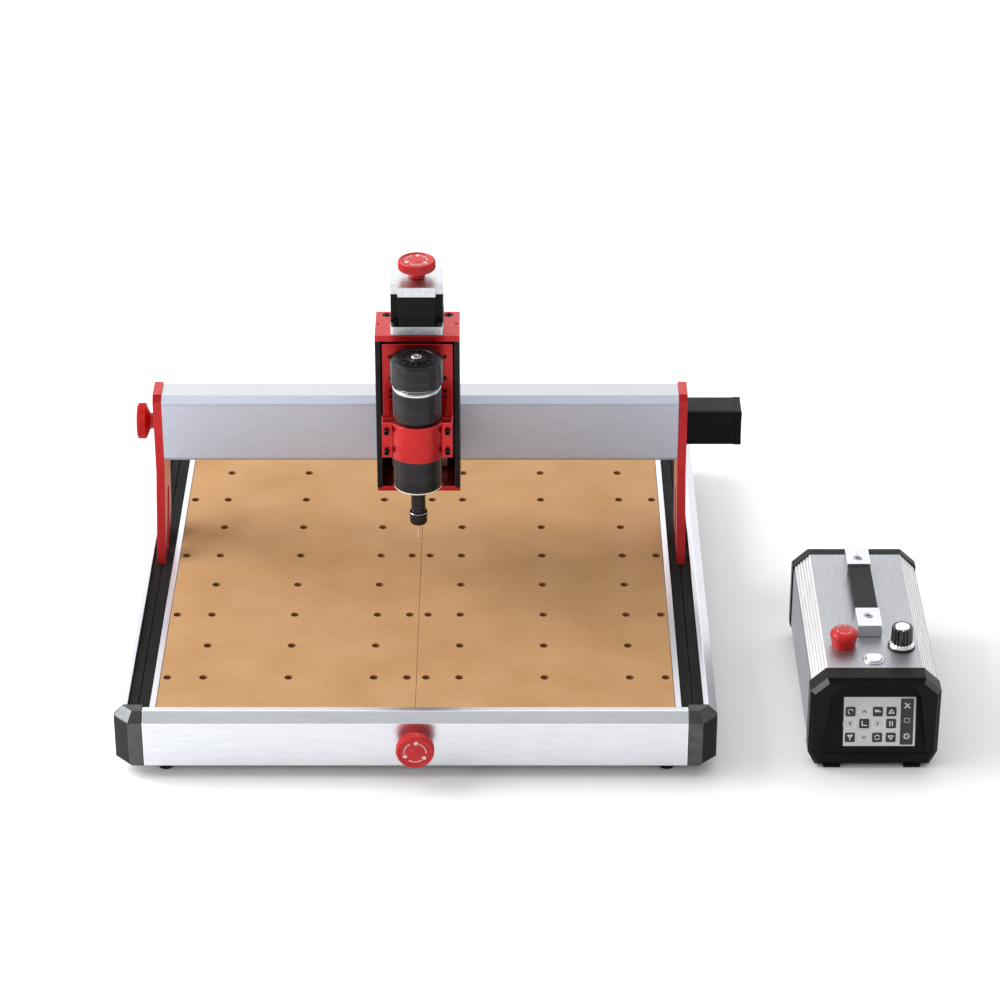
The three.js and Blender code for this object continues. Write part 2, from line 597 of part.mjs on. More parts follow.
function spindleCap() {
  const { cap, capBottom, capTop } = SPINDLE;
  return turned([
    [BORE_RADIUS, capBottom], [cap - 1.5, capBottom], [cap, capBottom + 1.5], [cap, capTop - 2],
    [cap - 2, capTop], [BORE_RADIUS, capTop], [BORE_RADIUS, capBottom],
  ], 32);
}

function buildRotor() {
  const group = new THREE.Group();
  const top = SPINDLE.capTop + 2.5;
  const shaft = [
    [0, BIT.top + GAP], [5, BIT.top + GAP], [5, COLLET.top + GAP], [7.75, COLLET.top + GAP],
    [7.75, SPINDLE.bottom - 0.4], [5.9, SPINDLE.bottom - 0.4], [5.9, top - 1], [4.9, top], [0, top],
  ];
  const nut = [
    [BIT.radius + 0.4, COLLET.bottom], [COLLET.radius - 1.5, COLLET.bottom], [COLLET.radius, COLLET.bottom + 1.5],
    [COLLET.radius, COLLET.top - 1], [COLLET.radius - 1, COLLET.top], [5.4, COLLET.top], [5.4, COLLET.bottom + 5],
    [BIT.radius + 0.4, COLLET.bottom + 5], [BIT.radius + 0.4, COLLET.bottom],
  ];
  const bit = [[0, BIT.tip], [BIT.radius, BIT.tip + 7], [BIT.radius, BIT.top], [0, BIT.top]];
  group.add(piece('spindle_shaft', turned(shaft, 16), DARK_METAL));
  group.add(piece('collet_nut', turned(nut, 24), DARK_METAL));
  group.add(piece('cutting_bit', turned(bit, 12), STEEL));
  return group;
}

function buildZCarriage() {
  const group = new THREE.Group();
  group.add(piece('z_carriage', zCarriage(), RED));
  group.add(piece('z_nut', zNut(), BLACK));
  group.add(piece('clamp_rear', clampHalf(true), RED));
  group.add(piece('clamp_front', clampHalf(false), RED));
  const spindle = new THREE.Group();
  spindle.position.set(0, SPINDLE.y, 0);
  spindle.add(piece('spindle_body', spindleBody(), DARK_METAL));
  spindle.add(piece('spindle_cap', spindleCap(), DARK_METAL));
  spindle.add(buildRotor());
  group.add(spindle);
  return group;
}

// ---------------------------------------------------------------- control box
function boxOutline({ top, side, base, upper, lower, bottom, height }, inset = 0) {
  return [
    [-base, bottom + inset], [base, bottom + inset], [side - inset, lower], [side - inset, upper],
    [top, height - inset], [-top, height - inset], [-side + inset, upper], [-side + inset, lower],
  ];
}

function frontBezel() {
  const front = -BOX.halfLength;
  const levels = [[BEZEL_CHAMFER, 0], [0, BEZEL_CHAMFER], [0, BOX.frontDepth]];
  const body = new ConvexGeometry(levels.flatMap(([inset, depth]) =>
    boxOutline(BEZEL_SECTION, inset).map(([x, z]) => new THREE.Vector3(x, front + depth, z))));
  const { topHalf, kneeHalf, baseHalf, bottom, knee, top } = RECESS;
  const corners = [];
  for (const [half, z] of [[baseHalf, bottom], [kneeHalf, knee], [topHalf, top]]) {
    for (const x of [-half, half]) {
      corners.push(new THREE.Vector3(x, front - 5, z), new THREE.Vector3(x, front + recessDepth(z), z));
    }
  }
  const { width, height, thickness } = SCREEN;
  const pocket = screenSlab(width + 2 * GAP, thickness + 2 * GAP, height + 2 * GAP);
  return cut(withPads(body, front + 2), new ConvexGeometry(corners), pocket);
}

// The recess gets deeper from its bottom edge to its top edge.
function recessDepth(z) {
  const { bottom, top, shallow, deep } = RECESS;
  return shallow + (deep - shallow) * (z - bottom) / (top - bottom);
}

// Two low feet under a bezel, starting at y.
function withPads(bezel, y) {
  const pads = [-PAD.x, PAD.x].map((x) =>
    box(x - PAD.halfX, x + PAD.halfX, y, y + PAD.length, 0, BEZEL_SECTION.bottom + 1));
  return join(bezel, ...pads);
}

function rearBezel() {
  const rear = BOX.halfLength;
  const body = barY(outline(boxOutline(BEZEL_SECTION)), rear - BOX.rearDepth, rear);
  return withPads(body, rear - PAD.length - 1);
}

// The screen's slab, tilted to lie in the recess.
function screenSlab(width, thickness, height) {
  const slab = new THREE.BoxGeometry(width, thickness, height);
  const y = -BOX.halfLength + recessDepth(SCREEN.centreZ) + 2.2;
  return slab.rotateX(-SCREEN_TILT).translate(SCREEN.centreX, y, SCREEN.centreZ);
}

function housing() {
  const front = -BOX.halfLength + BOX.frontDepth + GAP;
  const rear = BOX.halfLength - BOX.rearDepth - GAP;
  const hollow = boxOutline(HOUSING_SECTION, BOX.wall).reverse();
  const shell = barY(outline(boxOutline(HOUSING_SECTION), [hollow]), front, rear);
  const holes = [[ESTOP, ESTOP.stem + 0.5], [SPEED_KNOB, SHAFT_BORE], [PUSH_BUTTON, PUSH_BUTTON.radius + 0.4]];
  return cut(shell, ...holes.map(([spot, radius]) => rod(radius, 90, 120).translate(spot.x, spot.y, 0)));
}

function carryHandle() {
  const { halfX, length, height, frontY, rearY } = BRACKET;
  const foot = BOX.height;
  const front = box(-halfX, halfX, frontY, frontY + length, foot, foot + height);
  const rear = box(-halfX, halfX, rearY, rearY + length, foot, foot + height);
  const strap = box(-STRAP.halfX, STRAP.halfX, frontY + length - 1, rearY + 1, STRAP.bottom, STRAP.top);
  return join(front, rear, strap);
}

function buildControlBox() {
  const group = new THREE.Group();
  group.position.set(BOX_X, BOX_Y, 0);
  const deck = BOX.height;
  group.add(piece('box_housing', housing(), SILVER));
  group.add(piece('box_front_bezel', frontBezel(), BLACK));
  group.add(piece('box_rear_bezel', rearBezel(), BLACK));
  group.add(piece('touch_screen', screenSlab(SCREEN.width, SCREEN.thickness, SCREEN.height), GLASS));
  group.add(piece('carry_handle', carryHandle(), SILVER));
  const { radius, height, stem } = ESTOP;
  const estop = turned([
    [0, -8], [stem, -8], [stem, 6.5], [radius - 2, 6.5], [radius, 9], [radius, height - 5],
    [radius - 3, height - 1], [0, height],
  ], 32);
  group.add(piece('estop_button', estop, RED, [ESTOP.x, ESTOP.y, deck]));
  const { skirt } = SPEED_KNOB;
  const dial = turned([
    [0, -8], [SHAFT_RADIUS, -8], [SHAFT_RADIUS, GAP], [skirt, GAP], [skirt, 3], [SPEED_KNOB.radius, 6],
    [SPEED_KNOB.radius - 0.5, SPEED_KNOB.height], [0, SPEED_KNOB.height],
  ], 24);
  group.add(piece('speed_knob', dial, BLACK, [SPEED_KNOB.x, SPEED_KNOB.y, deck]));
  const cap = turned([
    [0, -6], [PUSH_BUTTON.radius, -6], [PUSH_BUTTON.radius, PUSH_BUTTON.height - 0.8],
    [PUSH_BUTTON.radius - 0.8, PUSH_BUTTON.height], [0, PUSH_BUTTON.height],
  ], 24);
  group.add(piece('push_button', cap, SILVER, [PUSH_BUTTON.x, PUSH_BUTTON.y, deck]));
  return group;
}

// ---------------------------------------------------------------- the whole object
// The origin is on the bench at the middle of the plan box that holds the machine and its box.
const LEFT = -(PLATE.outer + 1 + KNOB_LENGTH);
const RIGHT = BOX_X + BEZEL_SECTION.side;
const FRONT = -(BASE_HALF_Y + 3 + KNOB_LENGTH);
const BACK = BASE_HALF_Y + GAP + Y_MOTOR.length;

const router = new THREE.Group();
router.position.set(-(Math.min(LEFT, -BASE_HALF_X) + RIGHT) / 2, -(FRONT + BACK) / 2, 0);
router.add(buildBase(), buildGantry(), buildControlBox());

export default router;
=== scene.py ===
import math

import bmesh
import bpy
from mathutils import Matrix, Vector


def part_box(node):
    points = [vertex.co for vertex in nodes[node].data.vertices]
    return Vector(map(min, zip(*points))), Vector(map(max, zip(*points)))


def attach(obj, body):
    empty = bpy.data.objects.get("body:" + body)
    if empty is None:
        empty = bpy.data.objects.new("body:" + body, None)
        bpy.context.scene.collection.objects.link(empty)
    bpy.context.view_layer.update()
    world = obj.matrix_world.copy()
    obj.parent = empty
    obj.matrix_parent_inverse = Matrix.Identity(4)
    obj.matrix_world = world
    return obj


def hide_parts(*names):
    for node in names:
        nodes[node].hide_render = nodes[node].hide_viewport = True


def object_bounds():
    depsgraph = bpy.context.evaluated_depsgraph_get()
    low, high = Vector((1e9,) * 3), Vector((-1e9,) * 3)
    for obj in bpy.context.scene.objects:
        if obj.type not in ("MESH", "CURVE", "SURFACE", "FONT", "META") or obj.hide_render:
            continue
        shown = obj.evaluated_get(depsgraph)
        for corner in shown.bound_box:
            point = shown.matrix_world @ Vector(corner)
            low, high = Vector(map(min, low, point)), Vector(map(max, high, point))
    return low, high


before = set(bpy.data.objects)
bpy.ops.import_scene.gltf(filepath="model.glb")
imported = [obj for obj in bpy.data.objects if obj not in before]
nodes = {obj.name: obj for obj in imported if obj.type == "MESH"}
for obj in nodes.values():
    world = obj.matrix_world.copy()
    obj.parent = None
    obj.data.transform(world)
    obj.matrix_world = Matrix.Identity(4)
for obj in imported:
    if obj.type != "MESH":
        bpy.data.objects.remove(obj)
CAD_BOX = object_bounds()

# ---- places, from the frame
MM = 0.001
X0 = (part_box("x_beam")[0].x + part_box("x_beam")[1].x) / 2
Y0 = (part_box("front_beam")[0].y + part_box("rear_beam")[1].y) / 2
TO_ROW = Matrix.Translation((X0, Y0, 0)) @ Matrix.Scale(MM, 4)
TO_MACHINE = TO_ROW.inverted()
UP = (0, 0, 1)


def low(node):
    return TO_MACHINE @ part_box(node)[0]


def high(node):
    return TO_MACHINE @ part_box(node)[1]


def middle(node):
    return (low(node) + high(node)) / 2


def half_width(node):
    return (high(node).x - low(node).x) / 2


def shift(x, y, z=0.0):
    return Matrix.Translation((x, y, z))


# ---- outlines
def rectangle(a0, a1, b0, b1):
    return [(a0, b0), (a1, b0), (a1, b1), (a0, b1)]


def circle(radius, sides, centre=(0.0, 0.0)):
    turns = [2 * math.pi * i / sides for i in range(sides)]
    return [(centre[0] + radius * math.cos(t), centre[1] + radius * math.sin(t)) for t in turns]


def arc(radius, start, end, steps, centre=(0.0, 0.0)):
    """Points on an arc; the angles are in degrees."""
    angles = [math.radians(start + (end - start) * i / steps) for i in range(steps + 1)]
    return [(centre[0] + radius * math.cos(t), centre[1] + radius * math.sin(t)) for t in angles]


def inset(points, amount):
    """The outline moved inwards by an amount, or outwards if it is negative."""
    area = sum(a[0] * b[1] - b[0] * a[1] for a, b in zip(points, points[1:] + points[:1]))
    side = 1.0 if area > 0 else -1.0
    moved = []
    for i, point in enumerate(points):
        here = Vector(point)
        before = (here - Vector(points[i - 1])).normalized()
        after = (Vector(points[(i + 1) % len(points)]) - here).normalized()
        normals = Vector((-before.y, before.x)) + Vector((-after.y, after.x))
        moved.append(tuple(here + normals * side * amount / max(0.4, 1 + before.dot(after))))
    return moved


def rounded(points, radius, steps=4):
    """The outline with each corner turned into a curve."""
    curved = []
    for i, point in enumerate(points):
        corner = Vector(point)
        to_before = Vector(points[i - 1]) - corner
        to_after = Vector(points[(i + 1) % len(points)]) - corner
        reach = min(radius, 0.48 * to_before.length, 0.48 * to_after.length)
        start = corner + to_before.normalized() * reach
        end = corner + to_after.normalized() * reach
        for step in range(steps + 1):
            t = step / steps
            curved.append(tuple(start * (1 - t) ** 2 + corner * 2 * t * (1 - t) + end * t ** 2))
    return curved


def lift(outline, height, axis):
    """A flat outline as 3-D points at a height along an axis."""
    if axis == "x":
        return [(height, a, b) for a, b in outline]
    if axis == "y":
        return [(a, height, b) for a, b in outline]
    return [(a, b, height) for a, b in outline]


def facing(centre, outward, right=None):
    """A matrix whose z axis points outward and whose x axis points right."""
    z = Vector(outward).normalized()
    guess = Vector(right) if right else (Vector((1, 0, 0)) if abs(z.x) < 0.9 else Vector((0, 1, 0)))
    y = z.cross(guess).normalized()
    x = y.cross(z)
    matrix = Matrix((x, y, z)).transposed().to_4x4()
    return Matrix.Translation(centre) @ matrix


def painted(paint, first, end):
    """The paint of the bands from first up to end."""
    return {band: paint for band in range(first, end)}


# ---- meshes
# The side of a screw head, as shares of its radius and height.
PLAIN_HEAD = ((1, 0.85), (0.97, 0.95), (0.9, 1), (0.62, 1))
DOMED_HEAD = ((1, 0.35), (0.9, 0.75), (0.72, 1), (0.62, 1))
HEAD_SIDES = 24
HEAD_SINK = 0.4


class Build:
    """A mesh under construction, in the machine's millimetres."""

    def __init__(self, matrix=None):
        self.bm = bmesh.new()
        self.matrix = matrix or Matrix.Identity(4)

    def skin(self, rings, paint=0, caps=(True, True), loop=False, bands=None):
        """Quads between successive rings of points. bands gives the paint of single bands."""
        rows = [[self.bm.verts.new(self.matrix @ Vector(p)) for p in ring] for ring in rings]
        pairs = list(zip(rows, rows[1:])) + ([(rows[-1], rows[0])] if loop else [])
        for number, (near, far) in enumerate(pairs):
            colour = (bands or {}).get(number, paint)
            for i in range(len(near)):
                j = (i + 1) % len(near)
                self.bm.faces.new((near[i], near[j], far[j], far[i])).material_index = colour
        for wanted, row, number in ((caps[0], rows[0], 0), (caps[1], rows[-1], len(pairs) - 1)):
            if wanted and not loop:
                self.bm.faces.new(row).material_index = (bands or {}).get(number, paint)
        return rows

    def bar(self, outline, start, end, edge=0.4, axis="z", paint=0, wear_and_highlight=None):
        """A straight bar with eased ends; the last argument is the paint of the eased edges: a
        lighter paint, partly wear and partly a painted highlight.
        """
        step = math.copysign(edge, end - start)
        levels = [(start, edge), (start + 0.3 * step, 0.3 * edge), (start + step, 0)]
        levels += [(end - step, 0), (end - 0.3 * step, 0.3 * edge), (end, edge)]
        rings = [lift(inset(outline, ease), height, axis) for height, ease in levels]
        rows = self.skin(rings, paint)
        if wear_and_highlight is not None:
            flat = set(rows[0]), set(rows[-1]), set(rows[2] + rows[3])
            for face in {f for row in rows for v in row for f in v.link_faces}:
                if not any(set(face.verts) <= group for group in flat):
                    face.material_index = wear_and_highlight
        return rows

    def turn(self, profile, sides=48, paint=0, ribs=0, loop=False, bands=None):
        """A turned piece about local z. A profile point is (radius, height) or
        (radius, height, rib depth)."""
        rings = []
        for point in profile:
            depth = point[2] if len(point) > 2 else 0
            ring = []
            for i in range(sides):
                angle = 2 * math.pi * i / sides
                radius = point[0] - depth * (0.5 - 0.5 * math.cos(ribs * angle))
                ring.append((radius * math.cos(angle), radius * math.sin(angle), point[1]))
            rings.append(ring)
        return self.skin(rings, paint, loop=loop, bands=bands)

    def cap_screw(self, centre, outward, radius, height, paint=0, dome=False):
        """A screw head with a hexagon socket, standing on a face."""
        keep = self.matrix
        self.matrix = keep @ facing(centre, outward)
        across = radius * 0.5
        hexagon = []
        for x, y in circle(1.0, HEAD_SIDES):
            angle = math.atan2(y, x)
            reach = across / math.cos((angle + math.pi / 6) % (math.pi / 3) - math.pi / 6)
            hexagon.append((x * reach, y * reach))
        rings = [lift(circle(radius, HEAD_SIDES), -HEAD_SINK, "z")]
        for share, level in DOMED_HEAD if dome else PLAIN_HEAD:
            rings.append(lift(circle(radius * share, HEAD_SIDES), height * level, "z"))
        rings += [lift(hexagon, height * level, "z") for level in (0.88, 0.3)]
        self.skin(rings, paint)
        self.matrix = keep

    def board(self, outline, holes, bottom, top, edge, walls):
        """A flat board with through holes, every top edge eased."""
        faces = {top: [], bottom: []}
        for points, sign, paint in [(outline, 1, 0)] + [(hole, -1, walls) for hole in holes]:
            rings = [
                lift(points, bottom, "z"),
                lift(points, top - edge, "z"),
                lift(inset(points, sign * edge), top, "z"),
            ]
            rows = self.skin(rings, paint, caps=(False, False))
            for level, row in ((bottom, rows[0]), (top, rows[-1])):
                faces[level] += [self.bm.edges.get((row[i - 1], row[i])) for i in range(len(row))]
        for level, edges in faces.items():
            bmesh.ops.triangle_fill(self.bm, use_beauty=True, edges=edges, normal=(0, 0, 1))

    def thread(self, radius, depth, pitch, start, end, sides=12, steps=6, paint=0):
        """A screw thread along local z."""
        rings = []
        for i in range(int((end - start) / pitch * steps) + 1):
            ring = []
            height = start + i * pitch / steps
            for j in range(sides):
                phase = (i / steps - j / sides) % 1.0
                reach = radius - depth * (1 - abs(2 * phase - 1))
                angle = 2 * math.pi * j / sides
                ring.append((reach * math.cos(angle), reach * math.sin(angle), height))
            rings.append(ring)
        self.skin(rings, paint)

    def stroke(self, points, width, height, paint=0, closed=False):
        """A raised line through local (x, y) points."""
        ends = points[1:] + points[:1] if closed else points[1:]
        for a, b in zip(points, ends):
            along = (Vector(b) - Vector(a)).normalized() * width / 2
            across = Vector((-along.y, along.x))
            start = Vector(a) - along * 0.6
            end = Vector(b) + along * 0.6
            flat = [start - across, end - across, end + across, start + across]
            self.skin([lift([tuple(p) for p in flat], h, "z") for h in (0.0, height)], paint)


def linked(name, data):
    """A new object in the scene."""
    item = bpy.data.objects.new(name, data)
    bpy.context.scene.collection.objects.link(item)
    return item


def placed(bm, name):
    """A new object with the bmesh's mesh."""
    mesh = bpy.data.meshes.new(name)
    bm.to_mesh(mesh)
    bm.free()
    return linked(name, mesh)


EASED_FROM = 28


def add(build, name, body, finishes, stands_for=(), ease=0.0, sharp=32, cutter=None):
    """Makes the build into a piece. build is a Build, or the name of a CAD node to copy. ease is
    the width in mm of its eased edges, and cutter is a Build to cut away."""
    if isinstance(build, str):
        stands_for = stands_for or (build,)
        bm = bmesh.new()
        bm.from_mesh(nodes[build].data)
        bmesh.ops.remove_doubles(bm, verts=bm.verts, dist=0.01 * MM)
        bmesh.ops.dissolve_limit(bm, angle_limit=math.radians(1), verts=bm.verts, edges=bm.edges)
        for face in bm.faces:
            face.material_index = 0
    else:
        bm = build.bm
        bmesh.ops.recalc_face_normals(bm, faces=bm.faces)
        bm.transform(TO_ROW)
    piece = placed(bm, name)
    for finish_name in finishes:
        piece.data.materials.append(FINISH[finish_name])
    if cutter is not None:
        bmesh.ops.recalc_face_normals(cutter.bm, faces=cutter.bm.faces)
        cutter.bm.transform(TO_ROW)
        tool = placed(cutter.bm, "tool")
        cut = piece.modifiers.new("cut", "BOOLEAN")
        cut.operation = "DIFFERENCE"
        cut.solver = "EXACT"
        cut.object = tool
        settle(piece)
        bpy.data.objects.remove(tool)
    if ease:
        eased = piece.modifiers.new("ease", "BEVEL")
        eased.width = ease * MM
        eased.segments = 2
        eased.limit_method = "ANGLE"
        eased.angle_limit = math.radians(EASED_FROM)
        # The eased edges take the last finish: a lighter edge paint, partly wear and partly a
        # painted highlight.
        eased.material = len(finishes) - 1
    piece.data.shade_smooth()
    if not ease:
        piece.data.set_sharp_from_angle(angle=math.radians(sharp))
    weigh = piece.modifiers.new("weigh", "WEIGHTED_NORMAL")
    weigh.keep_sharp = True
    settle(piece)
    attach(piece, body)
    if stands_for:
        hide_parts(*stands_for)
    return piece


def settle(piece):
    """Applies the piece's modifiers."""
    graph = bpy.context.evaluated_depsgraph_get()
    settled = bpy.data.meshes.new_from_object(piece.evaluated_get(graph))
    piece.modifiers.clear()
    piece.data = settled


def copy(node, kind, body, finishes, ease):
    """A piece with the shape of one CAD node and eased edges."""
    return add(node, f"{node}_{kind}", body, finishes, ease=ease)


# ---- finishes
def rgb(text):
    """A colour in linear light from its usual hex form."""
    values = [int(text[i:i + 2], 16) / 255 for i in (0, 2, 4)]
    return [v / 12.92 if v <= 0.04045 else ((v + 0.055) / 1.055) ** 2.4 for v in values] + [1.0]


def set_inputs(node, **values):
    """Sets a node's inputs; an underscore stands for a space in an input's name."""
    for socket, value in values.items():
        node.inputs[socket.replace("_", " ")].default_value = value


def new_node(tree, kind, **values):
    node = tree.nodes.new("ShaderNode" + kind)
    set_inputs(node, **values)
    return node


def noise(tree, vector, scale, detail):
    node = new_node(tree, "TexNoise", Scale=scale, Detail=detail)
    tree.links.new(vector, node.inputs["Vector"])
    return node.outputs["Fac"]


def remapped(tree, value, source, target):
    node = new_node(tree, "MapRange", From_Min=source[0], From_Max=source[1],
                    To_Min=target[0], To_Max=target[1])
    tree.links.new(value, node.inputs["Value"])
    return node.outputs["Result"]


def blended(tree, factor, first, second):
    node = new_node(tree, "Mix")
    node.data_type = "RGBA"
    tree.links.new(factor, node.inputs[0])
    for socket, value in ((node.inputs[6], first), (node.inputs[7], second)):
        if isinstance(value, bpy.types.NodeSocket):
            tree.links.new(value, socket)
        else:
            socket.default_value = value
    return node.outputs[2]


def stretched(tree, scale):
    place = new_node(tree, "TexCoord")
    stretch = new_node(tree, "Mapping", Scale=scale)
    tree.links.new(place.outputs["Object"], stretch.inputs["Vector"])
    return stretch.outputs["Vector"]


EVEN = (1, 1, 1)
ALONG_X = (0.06, 1, 1)
ALONG_Y = (1, 0.06, 1)
ROUND_Z = (0.05, 0.05, 1)
SMUDGE_SCALE = 11
RELIEF_DEPTH = 0.0004
FINISH = {}


def finish(name, dark, light, rough, metallic, grain, broad, fine, bump, **sockets):
    """A material whose colour, roughness and relief vary: broad clouds or grain, and a fine
    tooth. broad and fine are the scales of their noise, grain its stretch along each axis."""
    material = bpy.data.materials.new(name)
    material.use_nodes = True
    tree = material.node_tree
    shader = tree.nodes["Principled BSDF"]
    set_inputs(shader, Metallic=metallic, **sockets)
    along = stretched(tree, grain)
    even = stretched(tree, EVEN)
    cloud = remapped(tree, noise(tree, along, broad, 6), (0.3, 0.7), (0, 1))
    tree.links.new(blended(tree, cloud, rgb(dark), rgb(light)), shader.inputs["Base Color"])
    smudge = remapped(tree, noise(tree, even, SMUDGE_SCALE, 4), (0.35, 0.65), rough)
    tree.links.new(smudge, shader.inputs["Roughness"])
    relief = new_node(tree, "Bump", Strength=bump, Distance=RELIEF_DEPTH)
    tree.links.new(noise(tree, along, fine, 2), relief.inputs["Height"])
    tree.links.new(relief.outputs["Normal"], shader.inputs["Normal"])
    FINISH[name] = material
    return tree, shader


finish("silver_x", "d2d4da", "dcdee3", (0.30, 0.36), 1.0, ALONG_X, 700, 2400, 0.10)
# The next finish is a neutral copy of the beam's bluish silver for the beam's upward faces: painted
# light.
finish("silver_lit_top", "bcbdc0", "c6c7ca", (0.42, 0.50), 0.5, ALONG_X, 700, 2400, 0.10)
finish("silver_blue", "bfc5d6", "c8cddc", (0.42, 0.50), 0.5, ALONG_X, 700, 2400, 0.10)
finish("silver_box", "a6a8ad", "b1b3b8", (0.36, 0.44), 0.95, ALONG_Y, 700, 2400, 0.10)
finish("silver_y", "d2d4da", "dcdee3", (0.30, 0.36), 1.0, ALONG_Y, 700, 2400, 0.10)
# silver_bright is the own colour of bright silver parts, and also the lighter paint of eased silver
# edges, partly wear and partly a painted highlight.
finish("silver_bright", "e6e7ea", "f4f4f6", (0.16, 0.26), 1.0, EVEN, 160, 1400, 0.06)
finish("silver_cast", "c4c6ca", "d9dbde", (0.30, 0.42), 1.0, EVEN, 220, 1300, 0.25)
ANODISED = {"Coat_Weight": 0.35, "Coat_Roughness": 0.22}
finish("red", "b01014", "c01619", (0.30, 0.38), 0.8, EVEN, 160, 2200, 0.10, **ANODISED)
# The next finish is the lighter red of eased edges: partly wear, partly a painted highlight.
finish("red_edge_wear_and_highlight", "d2302e", "e0504c", (0.22, 0.32), 0.8, EVEN, 120, 1700, 0.08, **ANODISED)
RED_SHINE = {"Specular_IOR_Level": 0.35}
finish("red_plastic", "ae0d10", "bc1416", (0.28, 0.36), 0.0, EVEN, 70, 1500, 0.06, **RED_SHINE)
BLACK_SHINE = {"Specular_IOR_Level": 0.12}
finish("black_metal", "1c1b1e", "262528", (0.28, 0.36), 0.9, EVEN, 120, 1900, 0.12)
finish("black_block", "4a4c4e", "56585a", (0.24, 0.32), 1.0, EVEN, 120, 1900, 0.12)
# The next finish is a darker copy of the corner blocks' black for their diagonal side facets:
# painted shade.
finish("black_painted_shade", "0d0d0f", "151517", (0.28, 0.36), 0.9, EVEN, 120, 1900, 0.12)
# The next finish is the lighter black of eased edges: partly wear, partly a painted highlight.
finish("black_edge_wear_and_highlight", "2a2a2c", "424245", (0.24, 0.34), 0.5, EVEN, 160, 1400, 0.12)
finish("black_plastic", "060606", "0b0b0b", (0.30, 0.42), 0.0, EVEN, 150, 1300, 0.25, **BLACK_SHINE)
# The next finish is a lighter grey copy of the bezel's black for its two upper corner facets:
# painted light.
finish("bezel_painted_light_facet", "3d3d3d", "494949", (0.36, 0.46), 0.0, EVEN, 150, 1300, 0.20)
# The next finish is a lighter, less metallic copy of the box shell's silver for its finned
# shoulders: painted light.
finish("fin_painted_light", "d9dadc", "ededee", (0.34, 0.44), 0.4, ALONG_Y, 700, 1800, 0.08)
finish("black_gloss", "070708", "0d0d0e", (0.12, 0.22), 0.0, EVEN, 60, 900, 0.04, Coat_Weight=0.3)
LAYERS_Z = (0.04, 0.04, 1)
finish("motor_black", "0e0e0e", "171717", (0.34, 0.46), 0.0, LAYERS_Z, 420, 1500, 0.25,
       **BLACK_SHINE)
finish("screw_black", "0e0e0f", "1a1a1c", (0.26, 0.40), 0.5, EVEN, 260, 1800, 0.20)
finish("screw_grey", "8d8e90", "a5a6a8", (0.26, 0.38), 0.8, EVEN, 260, 1800, 0.15)
finish("spindle_dark", "2c2c2f", "38383b", (0.22, 0.30), 0.9, ROUND_Z, 260, 2200, 0.10)
finish("steel", "a9abae", "c4c6c8", (0.18, 0.30), 1.0, EVEN, 140, 1600, 0.12)
finish("steel_turned", "b5b8bb", "dcdee0", (0.16, 0.26), 1.0, ROUND_Z, 380, 1800, 0.12)
finish("rubber", "101012", "19191b", (0.62, 0.78), 0.0, EVEN, 180, 1200, 0.45, **BLACK_SHINE)
finish("seal", "0b0b0a", "141312", (0.56, 0.74), 0.0, (1, 0.25, 1), 260, 2400, 0.55, **BLACK_SHINE)
# The next finish is near white and barely metallic: a painted highlight for the spindle housing's
# lower ring, which faces down.
finish("rim_painted_highlight", "e8e8ea", "fafafb", (0.20, 0.30), 0.3, EVEN, 120, 1400, 0.05)
finish("bit_steel", "d6a79f", "e6c3bb", (0.22, 0.32), 0.7, ROUND_Z, 300, 1600, 0.10)
finish("pale_mark", "f3e2da", "fdf1ea", (0.35, 0.5), 0.0, EVEN, 120, 900, 0.1)
finish("strap", "29292a", "343435", (0.55, 0.70), 0.0, (1, 0.3, 1), 600, 1500, 0.4, **BLACK_SHINE)
PANEL = {"Coat_Weight": 0.4, "Specular_IOR_Level": 0.3}
finish("panel_grey", "b9bbbd", "c6c8c9", (0.14, 0.2), 0.0, EVEN, 30, 500, 0.02, **PANEL)
finish("panel_dark", "0b0b0c", "131315", (0.14, 0.2), 0.0, EVEN, 30, 500, 0.02, **PANEL)
finish("panel_icon", "dedfe0", "efefef", (0.2, 0.3), 0.0, EVEN, 30, 500, 0.02, **PANEL)


QUARTER_TURN = 0.25


def turned(name, amount):
    """Turned metal: grooves run round the z axis and draw highlights out along it."""
    tree = FINISH[name].node_tree
    shader = tree.nodes["Principled BSDF"]
    tangent = new_node(tree, "Tangent")
    tangent.direction_type = "RADIAL"
    tangent.axis = "Z"
    set_inputs(shader, Anisotropic=amount, Anisotropic_Rotation=QUARTER_TURN)
    tree.links.new(tangent.outputs["Tangent"], shader.inputs["Tangent"])


turned("spindle_dark", 0.9)


def mdf_finish(name, dark, light, flecks):
    """Pressed board: soft mottling, pale and dark fibre flecks, a dry tooth."""
    tree, shader = finish(name, dark, light, (0.70, 0.84), 0.0, EVEN, 16, 1500, 0.35)
    even = stretched(tree, EVEN)
    base = shader.inputs["Base Color"].links[0].from_socket
    fibres = stretched(tree, (1, 0.35, 1))
    speck = remapped(tree, noise(tree, fibres, 1300, 3), (0.55, 0.72), (0, 0.55))
    darker = blended(tree, speck, base, rgb(flecks))
    pale = remapped(tree, noise(tree, even, 900, 3), (0.60, 0.75), (0, 0.4))
    tree.links.new(blended(tree, pale, darker, rgb("d6b88e")), shader.inputs["Base Color"])


mdf_finish("mdf", "a67b4a", "b2885a", "8a6137")
mdf_finish("mdf_cut", "8a5c34", "9c6b40", "6b4524")


